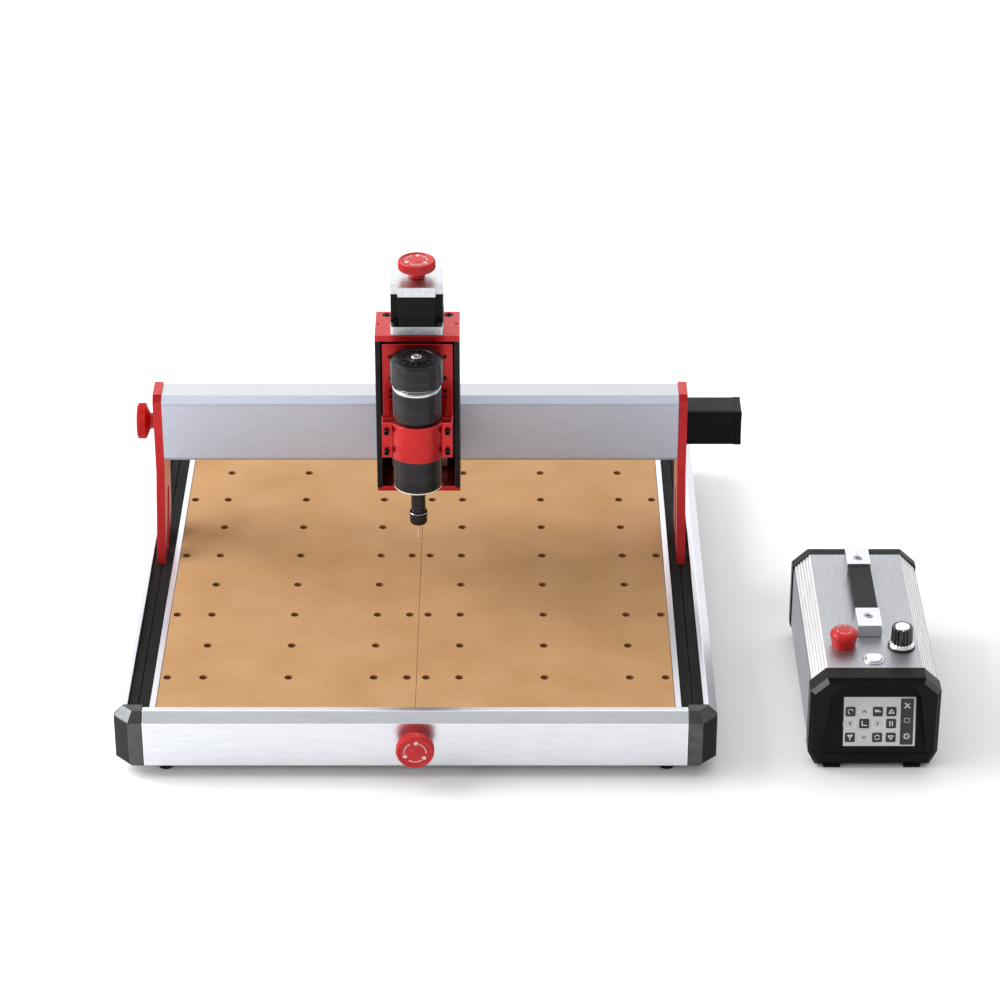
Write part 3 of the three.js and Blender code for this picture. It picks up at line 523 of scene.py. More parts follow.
# ---- base
# The second finish of each pair goes on the eased edges: a lighter paint, partly wear and partly a
# painted highlight.
SILVER_X = ("silver_x", "silver_bright")
SILVER_Y = ("silver_y", "silver_bright")
RED = ("red", "red_edge_wear_and_highlight")
RIGHT_LEFT = ((1, "right"), (-1, "left"))
for end in ("front", "rear"):
    copy(f"{end}_beam", "profile", "base", SILVER_X, 0.7)
    for _, hand in RIGHT_LEFT:
        both = ("black_block", "black_painted_shade")
        piece = copy(f"corner_{end}_{hand}", "block", "base", both, 0.6)
        # The diagonal side facets of each corner block take the darker copy of its black: painted
        # shade.
        for face in piece.data.polygons:
            leaning = abs(abs(face.normal.x) - abs(face.normal.y)) < 0.1
            face.material_index = int(leaning and abs(face.normal.z) < 0.1)
for _, hand in RIGHT_LEFT:
    for node in (f"{hand}_side_beam", f"board_support_{hand}"):
        copy(node, "profile", "base", SILVER_Y, 0.4)
copy("centre_support", "bar", "base", SILVER_Y, 0.5)

HOLE_COLUMNS = (45, 135, 225)
HOLE_PITCH = 63.43
HOLE_ROWS = range(-4, 5)
HOLE_RADIUS = 4.2
FIXING_COLUMNS = (10, 262.8)


def wasteboard(sign, hand):
    """Half of the bed: fibreboard with a grid of clamp holes and its sunk fixing screws."""
    lo, hi = low(f"wasteboard_{hand}"), high(f"wasteboard_{hand}")
    outline = rectangle(lo.x, hi.x, lo.y, hi.y)
    spots = [(sign * x, HOLE_PITCH * row) for x in HOLE_COLUMNS for row in HOLE_ROWS]
    even_rows = [row for row in HOLE_ROWS if row % 2 == 0]
    fixings = [(sign * x, HOLE_PITCH * row) for x in FIXING_COLUMNS for row in even_rows]
    holes = [circle(HOLE_RADIUS, 28, spot) for spot in spots + fixings]
    build = Build()
    build.board(outline, holes, lo.z, hi.z, 0.3, 1)
    name = f"wasteboard_{hand}"
    add(build, f"{name}_mdf", "base", ["mdf", "mdf_cut"], [name])
    screws = Build()
    for x, y in fixings:
        screws.cap_screw((x, y, lo.z + 2), UP, HOLE_RADIUS - 0.1, 3.5)
    add(screws, f"{name}_screws", "base", ["screw_black"])


def seals(sign, hand):
    """Two lips of black seal on each side, with the plate's slit between them."""
    inner = high("board_support_right").x - 7.5
    reach = high(f"{hand}_side_beam").y - 2
    slit, outer = (288.5, 289.3), 299.6
    bottom, top = 72.1, 73.5
    build = Build()
    for start, end in ((inner, slit[0]), (slit[1], outer)):
        section = rounded(rectangle(sign * start, sign * end, bottom, top), 0.4)
        build.bar(section, -reach, reach, 0.3, "y")
    add(build, f"slot_seal_{hand}", "base", ["seal"])


for sign, hand in RIGHT_LEFT:
    wasteboard(sign, hand)
    seals(sign, hand)


def foot(node):
    """A rubber foot with a grooved side and a sunk hole for its fixing screw underneath."""
    centre, top = middle(node), high(node).z
    radius = high(node).x - centre.x
    base = radius - 2.5
    build = Build(shift(centre.x, centre.y, 0))
    build.turn([
        (3.0, 4), (3.0, 0.8), (3.8, 0), (base - 1.2, 0), (base - 0.4, 0.4), (base, 1.2),
        (radius - 1.0, 6.5), (radius - 1.6, 7), (radius - 1.4, 8), (radius - 0.4, 8.5),
        (radius, top - 0.7), (radius - 0.5, top),
    ], 48)
    add(build, f"{node}_rubber", "base", ["rubber"], [node])


for node in [n for n in nodes if n.startswith("foot_")]:
    foot(node)
for hand in ("left", "right"):
    copy(f"y_rail_{hand}", "bar", "base", ["steel"], 0.4)


# ---- hand knobs and motors
KNOB_RIBS = 56
MARK_WIDTH = 1.1


def ring_mark(build, radius, height, paint):
    """Three thin arcs with arrow heads, showing that the knob turns."""
    for third in range(3):
        start = 120 * third
        build.stroke(arc(radius, start, start + 84, 14), MARK_WIDTH, height, paint)
        tip = arc(radius, start + 94, start + 95, 1)[0]
        barbs = [arc(radius + side * 1.9, start + 82, start + 83, 1)[0] for side in (1, -1)]
        build.stroke([barbs[0], tip, barbs[1]], MARK_WIDTH, height, paint)


def knob(node, body, foot_centre, outward):
    """A ribbed hand knob with a waisted back; its foot is where it meets the machine."""
    build = Build(facing(foot_centre, outward))
    face = 19.0
    build.turn([
        (3.2, 8), (3.2, 0), (8.6, 0), (9, 0.4), (9, 4.6), (9.4, 5.2), (18.4, 8.8),
        (19.4, 9.4, 0.3), (20, 10.4, 0.9), (20, 17.2, 0.9), (19.4, 18.3, 0.5), (18.3, face),
        (16.6, face),
        (16.1, face - 0.7), (5.2, face - 0.7), (4.8, face - 0.3), (0.6, face - 0.2),
    ], KNOB_RIBS * 4, ribs=KNOB_RIBS)
    build.matrix = build.matrix @ shift(0, 0, face - 0.75)
    ring_mark(build, 11.4, 0.25, 1)
    add(build, f"{node}_grip", body, ["red_plastic", "pale_mark"], [node])


knob("y_knob", "y_screw", (0, high("y_knob").y, middle("y_screw").z), (0, -1, 0))
knob("x_knob", "x_screw", (high("x_knob").x, middle("x_knob").y, middle("x_knob").z), (-1, 0, 0))
knob("z_knob", "z_screw", (0, middle("z_knob").y, low("z_knob").z), UP)


def notched(size, notch):
    half = size / 2
    inner = half - notch
    points = []
    for sx, sy in ((-1, -1), (1, -1), (1, 1), (-1, 1)):
        steps = [(sx * inner, sy * half), (sx * inner, sy * inner), (sx * half, sy * inner)]
        points += steps if sx * sy < 0 else steps[::-1]
    return points


CORNERS = ((-1, -1), (-1, 1), (1, -1), (1, 1))


def motor_size(node, outward):
    """The side of a motor's square and its length."""
    sides = high(node) - low(node)
    across = [side for side, along in zip(sides, outward) if not along]
    return across[0], abs(sides.dot(Vector(outward)))


def stepper(node, body, foot_centre, outward, socket_side):
    """A square motor: flange, laminated body, end cap, screws and its lead socket."""
    size, length = motor_size(node, outward)
    build = Build(facing(foot_centre, outward))
    notch = 0.15 * size
    corner = size * 0.06
    square = rounded(rectangle(-size / 2, size / 2, -size / 2, size / 2), corner)
    flange, cap = 10.0, 11.5
    build.bar(square, 0.2, flange, 0.5, paint=1)
    build.bar(rounded(notched(size - 0.8, notch), 1.2, 2), flange, length - cap, 0.2, paint=0)
    for groove in (flange + 0.6, length - cap - 1.2):
        build.bar(rounded(notched(size - 0.1, notch), 1.2, 2), groove, groove + 0.6, 0.15, paint=0)
    build.bar(rounded(notched(size, notch * 0.93), 1.2, 2), length - cap, length, 0.6, paint=1)
    spot = size / 2 - notch / 2
    inner = size / 2 - notch - 4.6
    for sx, sy in CORNERS:
        build.cap_screw((sx * spot, sy * spot, flange), UP, notch * 0.38, 4, 2)
        build.cap_screw((sx * inner, sy * inner, length - 0.9), UP, 2.2, 0.85, 2)
    build.matrix = build.matrix @ facing((0, 0, length - 17), socket_side)
    walls = rounded(rectangle(-8, 8, -4, 4), 0.8, 2)
    build.bar(walls, size / 2 - 3, size / 2 - 0.05, 0.3, paint=3)
    finishes = ["motor_black", "silver_cast", "screw_black", "black_plastic"]
    add(build, f"{node}_body", body, finishes, [node])


def motor_foot(node, axis):
    """The centre of the face by which a motor is mounted."""
    centre = middle(node)
    centre[axis] = low(node)[axis]
    return centre


def covered_motor(node, body, foot_centre, outward):
    """A square motor in a smooth black cover with round edges, and an end cap with four bosses."""
    size, length = motor_size(node, outward)
    half, cap = size / 2, 7.0
    build = Build(facing(foot_centre, outward))
    wall = half - 0.5
    square = rounded(rectangle(-wall, wall, -wall, wall), 6.0, 8)
    build.bar(square, 0.2, length - cap, 0.3)
    build.bar(inset(square, 0.5), length - cap - 0.5, length - cap + 0.5, 0.01)
    build.bar(inset(square, -0.1), length - cap, length - 0.4, 0.8)
    for sx, sy in CORNERS:
        spot = (sx * (half - 4.4), sy * (half - 4.4))
        build.bar(circle(3.9, 28, spot), length - cap - 1.5, length - 0.2, 0.5)
        build.cap_screw((*spot, length - 0.9), UP, 2.2, 0.85, 1)
    build.matrix = build.matrix @ facing((0, 0, length - 18), (0, -1, 0))
    build.bar(rounded(rectangle(-8, 8, -4, 4), 0.8, 2), half - 3, half - 0.05, 0.3, paint=2)
    finishes = ["black_plastic", "screw_black", "black_gloss"]
    add(build, f"{node}_cover", body, finishes, [node])


stepper("z_motor", "x_carriage", motor_foot("z_motor", 2), UP, (0, 1, 0))
covered_motor("x_motor", "gantry", motor_foot("x_motor", 0), (1, 0, 0))
stepper("y_motor", "base", motor_foot("y_motor", 1), (0, 1, 0), (0, 1, 0))


def lead_screw(node, body, outward, radius, pitch, start, end, collars, shafts):
    """A threaded screw with its collars and plain ends; heights run along outward."""
    build = Build(facing(Vector((0, 0, 0)), outward))
    centre = middle(node)
    offset = centre - Vector(outward) * centre.dot(Vector(outward))
    build.matrix = Matrix.Translation(offset) @ build.matrix
    build.thread(radius, 0.09 * radius, pitch, start, end, paint=0)
    for r, a, b in collars + shafts:
        build.turn([(r - 0.3, a), (r, a + 0.3), (r, b - 0.3), (r - 0.3, b)], 32, 1)
    finishes = ["steel", "steel_turned"]
    add(build, f"{node}_thread", body, finishes, [node], sharp=50)


# ---- gantry
def side_plate(sign, hand):
    """A red side plate with sunk socket screws into the end of the beam."""
    face = low("x_motor").x - 0.3
    radius, sunk = 4.6, 4.4
    lo, hi = low("x_beam"), high("x_beam")
    cutter = Build()
    screws = Build()
    for z in (lo.z + 9, hi.z - 12):
        for y in (lo.y + 8.5, hi.y - 8.5):
            cutter.matrix = facing((sign * face, y, z), (sign, 0, 0))
            cutter.turn([(radius, -sunk), (radius, 1)], 32)
            screws.cap_screw((sign * (face - sunk), y, z), (sign, 0, 0), 4.2, 3.8)
    node = f"side_plate_{hand}"
    add(node, f"{node}_anodised", "gantry", RED, ease=0.7, cutter=cutter)
    add(screws, f"plate_screws_{hand}", "gantry", ["screw_black"])


for sign, hand in RIGHT_LEFT:
    side_plate(sign, hand)
SILVER_BEAM = ("silver_blue", "silver_lit_top", "silver_bright")
beam = copy("x_beam", "profile", "gantry", SILVER_BEAM, 0.6)
# Upward faces of the beam take the neutral copy of its silver and the other faces the bluish one: a
# painted difference of light on one profile.
for face in beam.data.polygons:
    if face.material_index == 0 and face.normal.z > 0.9:
        face.material_index = 1
copy("beam_cover", "sheet", "gantry", ["silver_blue"], 0.25)
copy("cross_beam", "profile", "gantry", SILVER_X, 0.8)
copy("y_nut", "block", "gantry", ["black_plastic"], 0.8)
for level in ("lower", "upper"):
    copy(f"x_rail_{level}", "bar", "gantry", ["steel"], 0.5)


def beam_slot_lips():
    """Flexible grey lips that close the slots above and below the beam's cover."""
    lo, hi = low("beam_cover"), high("beam_cover")
    build = Build()
    for bottom, top in ((lo.z - 2.4, lo.z - 0.1), (hi.z + 0.1, hi.z + 2.4)):
        build.bar(rectangle(lo.y + 0.4, hi.y, bottom, top), lo.x, hi.x, 0.1, "x")
    add(build, "beam_slot_lips", "gantry", ["silver_blue"])


beam_slot_lips()


# ---- X carriage and Z column
copy("x_saddle", "block", "x_carriage", SILVER_X, 0.4)
copy("x_nut", "block", "x_carriage", ["black_plastic"], 0.7)
copy("z_column", "profile", "x_carriage", ["black_metal", "black_edge_wear_and_highlight"], 0.7)
for hand in ("left", "right"):
    copy(f"z_rail_{hand}", "bar", "x_carriage", ["steel"], 0.5)


def top_plate():
    """The red top plate with two counterbored screws at the back and a small one at each side."""
    lo, hi = low("z_top_plate"), high("z_top_plate")
    cutter = Build()
    screws = Build()
    rear_hole = (33, hi.y - 8, 5.0, 4.2)
    side_hole = (hi.x - 3.5, (lo.y + hi.y) / 2, 1.7, 1.6)
    for sx in (-1, 1):
        for x, y, radius, depth in (rear_hole, side_hole):
            cutter.matrix = shift(sx * x, y, hi.z)
            cutter.turn([(radius, -depth), (radius, 1)], 32)
            screws.cap_screw((sx * x, y, hi.z - depth), UP, radius * 0.86, depth * 0.8)
    add("z_top_plate", "z_top_plate_anodised", "x_carriage", RED,
        ease=0.6, cutter=cutter)
    add(screws, "z_top_plate_screws", "x_carriage", ["screw_black"])


top_plate()
copy("z_bottom_plate", "anodised", "x_carriage", RED, 0.6)

# ---- Z carriage, clamp and spindle
copy("z_carriage", "plate", "z_carriage", RED, 0.7)
copy("z_nut", "block", "z_carriage", ["black_plastic"], 0.7)
copy("clamp_rear", "block", "z_carriage", RED, 0.7)
SPINDLE = middle("spindle_body")
SPINDLE_AXIS = shift(SPINDLE.x, SPINDLE.y, 0)
SPINDLE_RADIUS = half_width("spindle_body")


def on_spindle(node):
    """A Build on the spindle's axis, and the node's lower end, upper end and radius."""
    return Build(SPINDLE_AXIS), low(node).z, high(node).z, half_width(node)


def clamp_front():
    """Smooth half-round cap with an ear on each side, and its four screws."""
    lo, hi = low("clamp_front"), high("clamp_front")
    outer = SPINDLE.y - lo.y
    bore = SPINDLE_RADIUS + 0.4
    ear = SPINDLE.y - 16
    reach = math.degrees(math.asin((SPINDLE.y - ear) / outer))
    inner_reach = math.degrees(math.asin((SPINDLE.y - hi.y) / bore))
    centre = (SPINDLE.x, SPINDLE.y)
    outline = [(lo.x, hi.y), (lo.x, ear)]
    outline += arc(outer, 180 + reach, 360 - reach, 40, centre)
    outline += [(hi.x, ear), (hi.x, hi.y)]
    outline += arc(bore, 360 - inner_reach, 180 + inner_reach, 40, centre)
    build = Build()
    build.bar(outline, lo.z, hi.z, 0.8, paint=0, wear_and_highlight=1)
    add(build, "clamp_front_cap", "z_carriage", RED, ["clamp_front"])
    screws = Build()
    for sx in (-1, 1):
        for dz in (-12, 12):
            spot = (sx * (outer + hi.x) / 2.12, ear, (lo.z + hi.z) / 2 + dz - 1)
            screws.cap_screw(spot, (0, -1, 0), 3.1, 4.6)
    add(screws, "clamp_screws", "z_carriage", ["screw_black"])


clamp_front()


def carriage_screws():
    """Small black screws down both sides of the red carriage plate."""
    face = low("z_carriage").y
    column, heights = 29, (357, 331.3, 316.2, 309.2)
    build = Build()
    for sx in (-1, 1):
        for z in heights:
            build.cap_screw((sx * column, face, z), (0, -1, 0), 2.3, 1.2, dome=True)
    add(build, "carriage_screws", "z_carriage", ["screw_black"])


carriage_screws()


def spindle_body():
    """Dark housing with a bright ring at its lower edge, a near-white painted highlight, and a
    bright neck under the cap.
    """
    build, lo, hi, r = on_spindle("spindle_body")
    bore, rim = 6.5, hi - 3.7
    build.turn([
        (bore, lo + 0.6), (bore + 0.6, lo), (15, lo), (15.4, lo + 0.8), (19, lo + 0.8), (19.4, lo),
        (r - 1.1, lo), (r - 0.2, lo + 0.5), (r, lo + 1.0), (r, lo + 2.0), (r - 0.15, lo + 2.15),
        (r, lo + 2.3),
        (r, rim - 3.2), (r - 0.3, rim - 3), (r, rim - 2.8),
        (r, rim - 0.9), (r - 0.7, rim), (22.6, rim), (22, rim + 0.5), (22, hi), (bore, hi),
    ], 96, loop=True, bands={**painted(1, 6, 9), **painted(2, 14, 19)})
    add(build, "spindle_housing", "z_carriage",
        ["spindle_dark", "rim_painted_highlight", "steel_turned"], ["spindle_body"])


def spindle_cap():
    """Fan cap: bevelled rim and a ring of radial air slots round the shaft."""
    build, lo, hi, r = on_spindle("spindle_cap")
    build.turn([
        (6.6, lo), (r - 1.6, lo), (r - 0.4, lo + 0.6), (r, lo + 1.8), (r, hi - 2.6),
        (r - 0.6, hi - 1.3), (r - 2.6, hi - 0.2), (r - 3.4, hi), (19.4, hi), (19, hi - 0.5),
        (9.2, hi - 0.5), (8.8, hi - 0.2),
        (6.6, hi - 0.2),
    ], 96, loop=True)
    cutter = Build()
    slots = 14
    for i in range(slots):
        turn = Matrix.Rotation(2 * math.pi * i / slots, 4, "Z")
        cutter.matrix = SPINDLE_AXIS @ turn
        cutter.bar(rounded(rectangle(10.6, 17.6, -1.15, 1.15), 1.1), hi - 6, hi + 1, 0.01)
    add(build, "spindle_fan_cap", "z_carriage", ["spindle_dark"], ["spindle_cap"],
        cutter=cutter)


def spindle_shaft():
    """Dark shaft with two spanner flats, a collar and a bright end."""
    shaft, lo, hi, _ = on_spindle("spindle_shaft")
    nut_hi = high("collet_nut").z
    body_lo = low("spindle_body").z
    shaft.turn([
        (4.6, lo), (5, lo + 0.4), (5, nut_hi - 2.7), (7.35, nut_hi - 2.7), (7.75, nut_hi - 2.3),
        (7.75, body_lo - 0.8), (7.4, body_lo - 0.4), (5.9, body_lo - 0.4), (5.9, hi - 2.4),
        (5.6, hi - 0.9), (4.7, hi - 0.15), (3.6, hi), (1.8, hi), (1.5, hi - 0.5),
    ], 48, bands=painted(1, 7, 14))
    flats = Build(SPINDLE_AXIS)
    for side in (-1, 1):
        outline = rectangle(-9, 9, *sorted((side * 6.6, side * 9)))
        flats.bar(outline, nut_hi + 10, nut_hi + 18, 0.01)
    add(shaft, "spindle_shaft_turned", "rotor", ["spindle_dark", "steel_turned"],
        ["spindle_shaft"], cutter=flats)


def collet_nut():
    """Cup-lipped nut with a bright ring."""
    nut, lo, hi, r = on_spindle("collet_nut")
    nut.turn([
        (2.1, lo + 0.3), (2.5, lo), (r - 2.8, lo), (r - 1.3, lo + 0.9), (r - 0.5, lo + 2.6),
        (r - 0.4, hi - 3.2), (r, hi - 2.6), (r, hi - 0.4), (r - 0.3, hi), (9.1, hi),
        (8.8, hi - 0.3), (8.8, hi - 2.6), (5.5, hi - 2.6), (5.5, lo + 5.2), (2.1, lo + 5.2),
    ], 72, loop=True, bands=painted(1, 7, 9))
    add(nut, "collet_nut_turned", "rotor", ["spindle_dark", "steel_turned"],
        ["collet_nut"])


def cutting_bit():
    """A bit with two flutes that wind round its lower end."""
    bit, tip, top, _ = on_spindle("cutting_bit")
    radius, flute_length, twist, steps = 1.58, 17, 0.9, 48
    rings = []
    for i in range(steps + 1):
        height = tip + 0.4 + flute_length * i / steps
        share = min(1.0, max(0.0, (tip + flute_length - height) / 3))
        point = min(1.0, 0.35 + i * 0.22)
        ring = []
        for x, y in circle(1.0, 24):
            lobe = 0.5 + 0.5 * math.cos(2 * (math.atan2(y, x) - height * twist))
            reach = radius * (1 - 0.28 * share * (1 - lobe) ** 1.5) * point
            ring.append((reach * x, reach * y, height))
        rings.append(ring)
    rings.append(lift(circle(radius, 24), top, "z"))
    bit.skin(rings)
    add(bit, "cutting_bit_fluted", "rotor", ["bit_steel"], ["cutting_bit"])


spindle_body()
spindle_cap()
spindle_shaft()
collet_nut()
cutting_bit()

# ---- lead screws
END_Y = high("front_beam").y - 1
lead_screw("y_screw", "y_screw", (0, 1, 0), 6, 4, END_Y, -END_Y,
           [(8, low("front_beam").y + 2, END_Y), (8, -END_Y, high("rear_beam").y - 2)],
           [(3, low("y_screw").y, low("front_beam").y + 2.5),
            (3, high("rear_beam").y - 2.5, high("y_screw").y)])
END_X = high("x_beam").x - 2
lead_screw("x_screw", "x_screw", (1, 0, 0), 4, 4, -END_X, END_X - 11,
           [(7, END_X - 11, END_X)],
           [(3, low("x_screw").x, -END_X + 0.4), (3, END_X - 0.4, high("x_screw").x)])
COLLAR_Z = 347
lead_screw("z_screw", "z_screw", (0, 0, 1), 4, 2, low("z_screw").z, COLLAR_Z,
           [(9.5, COLLAR_Z, 374)], [(3, 373.6, high("z_screw").z)])

# ---- control box
BOX = middle("box_housing")
DECK = high("box_housing").z
SCREEN_TILT = math.radians(14)
SCREEN_OUT = Vector((0, -math.cos(SCREEN_TILT), math.sin(SCREEN_TILT)))
SCREEN_UP = Vector((0, math.sin(SCREEN_TILT), math.cos(SCREEN_TILT)))
SCREEN_SIZE = (76.6, 55.5)
SCREEN_CENTRE = middle("touch_screen") + Vector((2.7, 0, 0)) - 4.0 * SCREEN_UP


def housing():
    """Extruded shell: a finned shoulder along both long edges."""
    lo, hi = low("box_housing"), high("box_housing")
    half = (hi.x - lo.x) / 2
    shoulder, upper, base, lower = 49.5, 93.0, 58.0, 20.0
    fins, depth = 6, 1.5
    run = Vector((half - shoulder, upper - hi.z))
    inwards = Vector((run.y, -run.x)).normalized()
    right = []
    for i in range(fins):
        for share, sink in ((0.06, 0), (0.56, 0), (0.66, depth), (0.96, depth)):
            point = Vector((shoulder, hi.z)) + run * ((i + share) / fins) + inwards * sink
            right.append(tuple(point))
    right += [(half, upper - 0.6), (half, lower), (base, lo.z)]
    outline = [(-shoulder, hi.z), (shoulder, hi.z)] + right
    outline += [(-a, b) for a, b in reversed(right)]
    build = Build(shift(BOX.x, 0, 0))
    build.bar(outline, lo.y, hi.y, 0.02, "y")
    # Faces of the sloping finned shoulders take the lighter copy of the shell's silver: painted
    # light on one extrusion.
    for face in build.bm.faces:
        middle_point = face.calc_center_median()
        if abs(middle_point.x - BOX.x) > shoulder and middle_point.z > upper:
            face.material_index = 1
    add(build, "box_shell", "control_box", ["silver_box", "fin_painted_light"], ["box_housing"],
        sharp=20)


def front_bezel():
    """Black moulding: a chamfered face, a sloping recess for the screen and two low feet."""
    lo, hi = low("box_front_bezel"), high("box_front_bezel")
    half, top = hi.x - BOX.x, hi.z
    right = [(60, 3), (half, 19), (half, 94), (51, top)]
    outline = right + [(-x, z) for x, z in reversed(right)]
    chamfer = 4.5
    build = Build(shift(BOX.x, 0, 0))
    levels = [(chamfer, 0), (0, chamfer), (0, hi.y - lo.y)]
    rings = [lift(inset(outline, ease), lo.y + depth, "y") for ease, depth in levels]
    outer = build.skin(rings, caps=(False, True))
    bottom, opening = 18.5, [(55.6, 18.5), (47.2, 87), (36, 104)]
    opening += [(-x, z) for x, z in reversed(opening)]
    deepening = 21 / (104 - bottom)
    mouth = [(x, lo.y, z) for x, z in opening]
    floor = [(x, lo.y + 1 + deepening * (z - bottom), z) for x, z in opening]
    inner = build.skin([mouth, floor], caps=(False, True))
    # The two upper corner facets take the lighter grey copy of the moulding's black: painted light.
    for column in (2, 4):
        facet = {outer[0][column], outer[0][column + 1], outer[1][column], outer[1][column + 1]}
        for face in outer[1][column].link_faces:
            if set(face.verts) == facet:
                face.material_index = 2
    edges = []
    for row in (outer[0], inner[0]):
        edges += [build.bm.edges.get((row[i - 1], row[i])) for i in range(len(row))]
    bmesh.ops.triangle_fill(build.bm, use_beauty=True, edges=edges, normal=(0, -1, 0))
    pocket = Build(facing(SCREEN_CENTRE, SCREEN_OUT, (1, 0, 0)))
    half_width, half_height = SCREEN_SIZE[0] / 2 + 0.3, SCREEN_SIZE[1] / 2 + 0.3
    pocket.bar(rectangle(-half_width, half_width, -half_height, half_height), -2.3, 6, 0.01)
    finishes = ["black_plastic", "black_edge_wear_and_highlight", "bezel_painted_light_facet"]
    add(build, "box_front_bezel_moulding", "control_box", finishes,
        ["box_front_bezel"], sharp=20, cutter=pocket)
    feet = Build(shift(BOX.x, lo.y + 7, 0))
    for x in (-42, 42):
        feet.bar(rounded(rectangle(x - 9, x + 9, -5, 5), 1.5), 0, 3.2, 0.4)
    add(feet, "box_front_feet", "control_box", ["rubber"])


housing()
front_bezel()
copy("box_rear_bezel", "moulding", "control_box",
     ["black_plastic", "black_edge_wear_and_highlight"], 0.8)

TILE = 10.6
LINE = 0.9


def touch_screen():
    """Screen slab with a plain control panel: direction pads, tiles and a dark side bar."""
    surface = facing(SCREEN_CENTRE, SCREEN_OUT, (1, 0, 0))
    build = Build(surface)
    w, h = SCREEN_SIZE[0] / 2, SCREEN_SIZE[1] / 2
    build.bar(rounded(rectangle(-w, w, -h, h), 1.0), -2, 2, 0.25, paint=0)
    level = 2.0

    def patch(outline, thickness, paint):
        build.matrix = surface @ shift(0, 0, level)
        build.bar(outline, 0, thickness, 0.03, paint=paint)

    def at(x, y):
        build.matrix = surface @ shift(x, y, level)

    patch(rounded(rectangle(-w + 0.8, w - 0.8, -h + 0.8, h - 0.8), 0.5), 0.08, 1)
    patch(rounded(rectangle(21.8, 35.4, -25.6, 25.6), 0.5), 0.14, 2)
    columns = (-30.5, -15.9, -2.0, 12.2)
    rows = (11.0, -2.2, -17.5)
    tiles = ((0, 0), (2, 0), (3, 0), (1, 1), (3, 1), (0, 2), (2, 2), (3, 2))
    for column, row in tiles:
        x, y = columns[column], rows[row]
        half = TILE / 2
        patch(rounded(rectangle(x - half, x + half, y - half, y + half), 1.8), 0.16, 2)
    chevron = [(-2, -1.1), (0, 1.1), (2, -1.1)]
    pads = ((1, 0, 0), (0, 1, 90), (1, 2, 180), (2, 1, 270))
    for column, row, turn in pads:
        at(columns[column], rows[row])
        build.matrix = build.matrix @ Matrix.Rotation(math.radians(turn), 4, "Z")
        build.stroke(rounded(rectangle(-5.4, 5.4, -5.6, 7.4), 5.2, 6), 0.35, 0.14, 3, closed=True)
        build.stroke(chevron, LINE, 0.18, 2)
    triangle = [(-2.6, -1.7), (2.6, -1.7), (0, 2.3)]
    upside_down = [(x, -y) for x, y in triangle]
    signs = (
        (3, 0, [triangle], True), (3, 2, [upside_down], True),
        (3, 1, [[(-1.3, -2.4), (-1.3, 2.4)], [(1.3, -2.4), (1.3, 2.4)]], False),
        (0, 0, [arc(2.5, 20, 250, 10)], False),
        (2, 0, [[(-3, 0), (3, 0)], [(-3, 1.6), (1, 1.6)]], False),
        (1, 1, [[(-2.2, 2.6), (-2.2, -2.0), (2.6, -2.0)]], False),
        (0, 2, [[(-2.6, 2.4), (2.6, 2.4), (0, 0), (-2.6, 2.4)], [(0, 0), (0, -2.8)]], False),
        (2, 2, [arc(2.4, 30, 170, 8), arc(2.4, 210, 350, 8)], False),
    )
    for column, row, lines, closed in signs:
        at(columns[column], rows[row])
        for points in lines:
            build.stroke(points, LINE, 0.24, 3, closed=closed)
    side_bar = 28.7
    at(side_bar, 17.8)
    build.stroke([(-2.6, -2.8), (2.0, 2.0)], 1.1, 0.24, 3)
    build.stroke([(2.6, -2.8), (-2.4, 2.6)], 1.1, 0.24, 3)
    at(side_bar, 1.4)
    build.stroke(rounded(rectangle(-2.8, 2.8, -2.2, 2.2), 0.8, 3), 0.6, 0.2, 1, closed=True)
    at(side_bar, -16.2)
    build.stroke(circle(2.1, 20), 1.0, 0.24, 3, closed=True)
    for near, far in zip(circle(2.2, 8), circle(3.3, 8)):
        build.stroke([near, far], LINE, 0.24, 3)
    add(build, "touch_panel", "control_box",
        ["black_gloss", "panel_grey", "panel_dark", "panel_icon"], ["touch_screen"])


touch_screen()

STRAP_HALF = 12
STRAP_Z = (118.5, 121.5)
BRACKET_HALF = 12.8
BRACKET_LENGTH = 36.5


def carry_handle():
    """Two silver brackets with a black strap between them."""
    lo, hi = low("carry_handle"), high("carry_handle")
    starts = (lo.y, hi.y - BRACKET_LENGTH)
    brackets, screws, cutter = Build(), Build(), Build()
    for start, reach in zip(starts, (20.5, 13)):
        left, right = BOX.x - BRACKET_HALF, BOX.x + BRACKET_HALF
        outline = rectangle(left, right, start, start + BRACKET_LENGTH)
        brackets.bar(rounded(outline, 1.0, 2), lo.z, hi.z, 0.8, paint=0, wear_and_highlight=1)
        spot = Vector((BOX.x, start + reach, hi.z))
        cutter.matrix = Matrix.Translation(spot)
        cutter.turn([(4.4, -2), (4.4, -0.9), (6.0, 0.1), (6.0, 2)], 40)
        screws.matrix = Matrix.Translation(spot)
        screws.cap_screw((0, 0, -1.9), UP, 4.2, 1.7, dome=True)
    add(brackets, "handle_brackets", "control_box", SILVER_X, ["carry_handle"],
        cutter=cutter)
    add(screws, "handle_screws", "control_box", ["screw_grey"])
    strap = Build()
    section = rounded(rectangle(BOX.x - STRAP_HALF, BOX.x + STRAP_HALF, *STRAP_Z), 0.9)
    strap.bar(section, starts[0] + BRACKET_LENGTH - 0.5, starts[1] + 0.5, 0.1, "y")
    add(strap, "handle_strap", "control_box", ["strap"])


carry_handle()


def on_deck(node):
    """A Build on the box's deck at a node, with the node's radius and height above the deck."""
    centre = middle(node)
    return Build(shift(centre.x, centre.y, DECK)), half_width(node), high(node).z - DECK


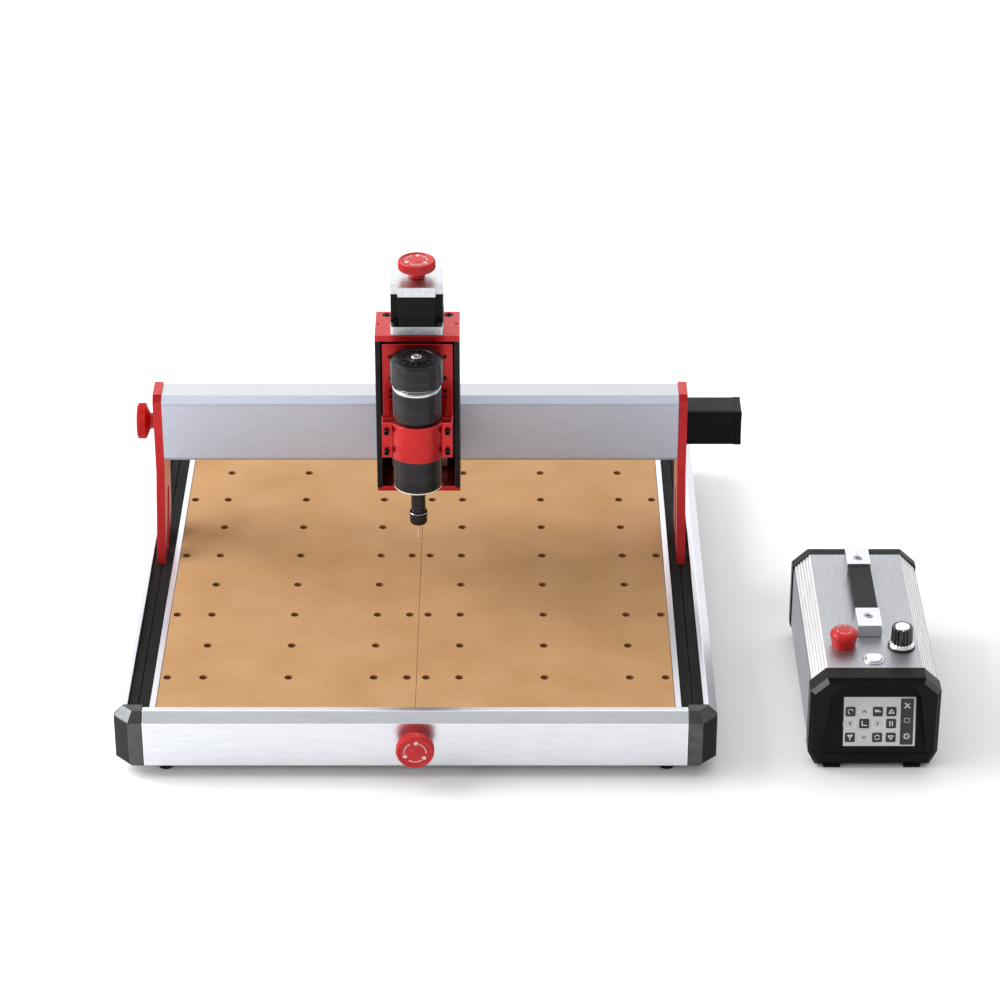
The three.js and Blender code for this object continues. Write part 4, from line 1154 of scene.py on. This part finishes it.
def emergency_stop():
    """Red mushroom button with a ring of arcs; its skirt slides over a fixed red collar."""
    build, r, top = on_deck("estop_button")
    build.turn([
        (6.4, -6), (6.4, 10.2), (12.9, 10.2), (12.9, 5.5), (13.1, 5.1), (13.3, 5.1), (13.5, 5.5),
        (13.5, 9.0), (14.9, 12.6), (r, 13.4), (r - 0.3, 14.6), (r - 1.0, 15.8), (r - 2.0, 16.9),
        (r - 3.2, top - 0.9), (r - 4.6, top - 0.45), (6, top - 0.15), (3, top - 0.05), (0.5, top),
    ], 72)
    build.matrix = build.matrix @ shift(0, 0, top - 0.9)
    for third in range(3):
        start = 120 * third
        build.stroke(arc(7.6, start, start + 84, 12), MARK_WIDTH, 0.75, 1)
    add(build, "estop_cap", "estop", ["red_plastic", "pale_mark"], ["estop_button"])
    collar = on_deck("estop_button")[0]
    collar.turn([(8, -0.2), (12.5, -0.2), (12.5, 4.6), (12.1, 5.0), (8, 5.0)], 72, loop=True)
    add(collar, "estop_collar", "control_box", ["red_plastic"])


def speed_dial():
    """Fluted black dial with a bright cap and a flared skirt."""
    build, skirt, top = on_deck("speed_knob")
    flutes = 18
    build.turn([
        (2.8, -6), (2.8, 0.5), (skirt - 0.5, 0.5), (skirt, 1.0), (skirt, 2.2), (skirt - 0.7, 2.9),
        (12.5, 5.2, 0.4), (11.8, 6.0, 1.0), (11.5, 12, 1.0), (11.2, top - 2.0, 1.0),
        (10.7, top - 0.8, 0.5), (9.8, top - 0.3), (8.7, top - 0.3), (8.4, top - 0.8),
        (7.9, top - 0.8), (7.4, top - 0.1), (5, top), (0.5, top - 0.1),
    ], flutes * 8, ribs=flutes, bands={**painted(1, 5, 7), **painted(1, 14, 17)})
    build.matrix = build.matrix @ shift(0, 0, top - 0.35)
    build.stroke([(0, -8.9), (0, -10.6)], 0.9, 0.35, 2)
    add(build, "speed_dial", "speed_knob",
        ["black_gloss", "silver_bright", "pale_mark"], ["speed_knob"])


def start_button():
    """Bright dished button in a steel ring."""
    build, r, top = on_deck("push_button")
    build.turn([
        (r - 0.1, -4), (r - 0.1, top - 0.9), (r - 0.7, top - 0.15), (r - 1.6, top),
        (r - 2.4, top - 0.5), (2, top - 0.75), (0.5, top - 0.8),
    ], 64)
    add(build, "push_button_cap", "push_button", ["silver_bright"], ["push_button"])
    ring = on_deck("push_button")[0]
    inner, outer = r + 0.3, r + 2.6
    ring.turn([
        (inner, -0.2), (outer, -0.2), (outer, 0.9), (r + 2.0, 1.5), (r + 0.8, 1.5), (inner, 1.0),
    ], 64, loop=True)
    add(ring, "push_button_bezel", "control_box", ["steel_turned"])


emergency_stop()
speed_dial()
start_button()


def rear_sockets():
    """What a box like this has behind: a mains inlet, a switch, round sockets and a fan grille."""
    face = high("box_rear_bezel").y
    build = Build()

    def block(x, width, bottom, top, corner, start, end, edge, paint):
        outline = rounded(rectangle(BOX.x + x, BOX.x + x + width, bottom, top), corner)
        build.bar(outline, face + start, face + end, edge, "y", paint)

    block(14, 30, 30, 54, 1.5, -1, 2.2, 0.5, 0)
    block(18, 22, 33.5, 50.5, 2.5, 1, 2.6, 0.4, 1)
    for i in range(3):
        x = BOX.x + 23.5 + 5.5 * i
        build.bar(rectangle(x - 0.9, x + 0.9, 39, 45), face + 2, face + 4.4, 0.2, "y", 2)
    block(22, 14, 62, 80, 1.2, -1, 3.4, 0.6, 3)
    for i in range(4):
        build.matrix = facing((BOX.x - 47 + 16 * i, face, 34), (0, 1, 0))
        build.turn([
            (7, -1), (7, 1.6), (6.4, 2.2), (5.6, 2.2), (5.6, 6.4), (5.2, 6.8), (4.4, 6.8),
            (4.2, 2.6),
        ], 40, bands=painted(2, 3, 6))
        for pin in circle(2.3, 4):
            build.bar(circle(0.5, 10, pin), 2.2, 5.4, 0.1, paint=2)
    build.matrix = facing((BOX.x - 23, face, 72), (0, 1, 0))
    for radius in (6, 11, 16, 21):
        inner, outer = radius - 0.6, radius + 0.6
        build.turn([(inner, 1.2), (outer, 1.2), (outer, 2.2), (inner, 2.2)], 64, paint=2, loop=True)
    for spoke_end in circle(22, 4):
        build.stroke([(0, 0), spoke_end], 1.2, 1.6, 2)
    build.turn([(3, 0), (3, 2.4), (2.4, 2.8)], 32, paint=2)
    rim = [(23, -0.5), (26, -0.5), (26, 1.2), (25.4, 1.8), (23.6, 1.8), (23, 1.2)]
    build.turn(rim, 64, loop=True)
    add(build, "rear_sockets", "control_box",
        ["black_plastic", "black_gloss", "steel_turned", "red_plastic"])


rear_sockets()

# ---- studio
FLOOR_HALF = 9.0
# The studio is brighter towards the back left: its strength goes from one end to the other.
BRIGHT_SIDE = (-0.404, 0.909, -0.101)
STRENGTH = (0.45, 1.6)
LENS = 121.5
SENSOR_WIDTH = 36.0
CAMERA_PLACE = (87.94, -3259.46, 1991.34)
CAMERA_PITCH = 60.5


def area_light(name, place, target, size, power):
    lamp = bpy.data.lights.new(name, "AREA")
    lamp.shape = "DISK"
    lamp.size = size
    lamp.energy = power
    light = linked(name, lamp)
    light.location = place
    towards = Vector(target) - Vector(place)
    light.rotation_euler = towards.to_track_quat("-Z", "Y").to_euler()


def ground():
    finish("studio_floor", "f4f4f4", "f8f8f8", (0.7, 0.8), 0.0, EVEN, 3, 60, 0.01)
    bm = bmesh.new()
    bmesh.ops.create_grid(bm, x_segments=4, y_segments=4, size=FLOOR_HALF)
    floor = placed(bm, "floor")
    floor.data.materials.append(FINISH["studio_floor"])


def studio():
    """Soft light from all round, one broad key light and a weak one near the left front."""
    world = bpy.data.worlds.new("studio")
    bpy.context.scene.world = world
    world.use_nodes = True
    tree = world.node_tree
    sky = tree.nodes["Background"]
    set_inputs(sky, Color=(1.0, 1.0, 1.0, 1.0))
    direction = new_node(tree, "TexCoord")
    towards = new_node(tree, "VectorMath")
    towards.operation = "DOT_PRODUCT"
    towards.inputs[1].default_value = BRIGHT_SIDE
    tree.links.new(direction.outputs["Generated"], towards.inputs[0])
    strength = remapped(tree, towards.outputs["Value"], (-1.0, 1.0), STRENGTH)
    tree.links.new(strength, sky.inputs["Strength"])
    target = (CAD_BOX[0] + CAD_BOX[1]) / 2
    area_light("key", (-2.6, 0.3, 2.1), target, 2.4, 92)
    area_light("strip_left", (-2.2, -1.4, 0.9), target, 0.5, 12)


def camera():
    view = bpy.data.cameras.new("camera")
    view.lens = LENS
    view.sensor_width = SENSOR_WIDTH
    view.clip_end = 100.0
    holder = linked("camera", view)
    holder.location = TO_ROW @ Vector(CAMERA_PLACE)
    holder.rotation_euler = (math.radians(CAMERA_PITCH), 0.0, 0.0)
    bpy.context.scene.camera = holder


ground()
studio()
camera()
bpy.context.scene.view_settings.view_transform = "Standard"
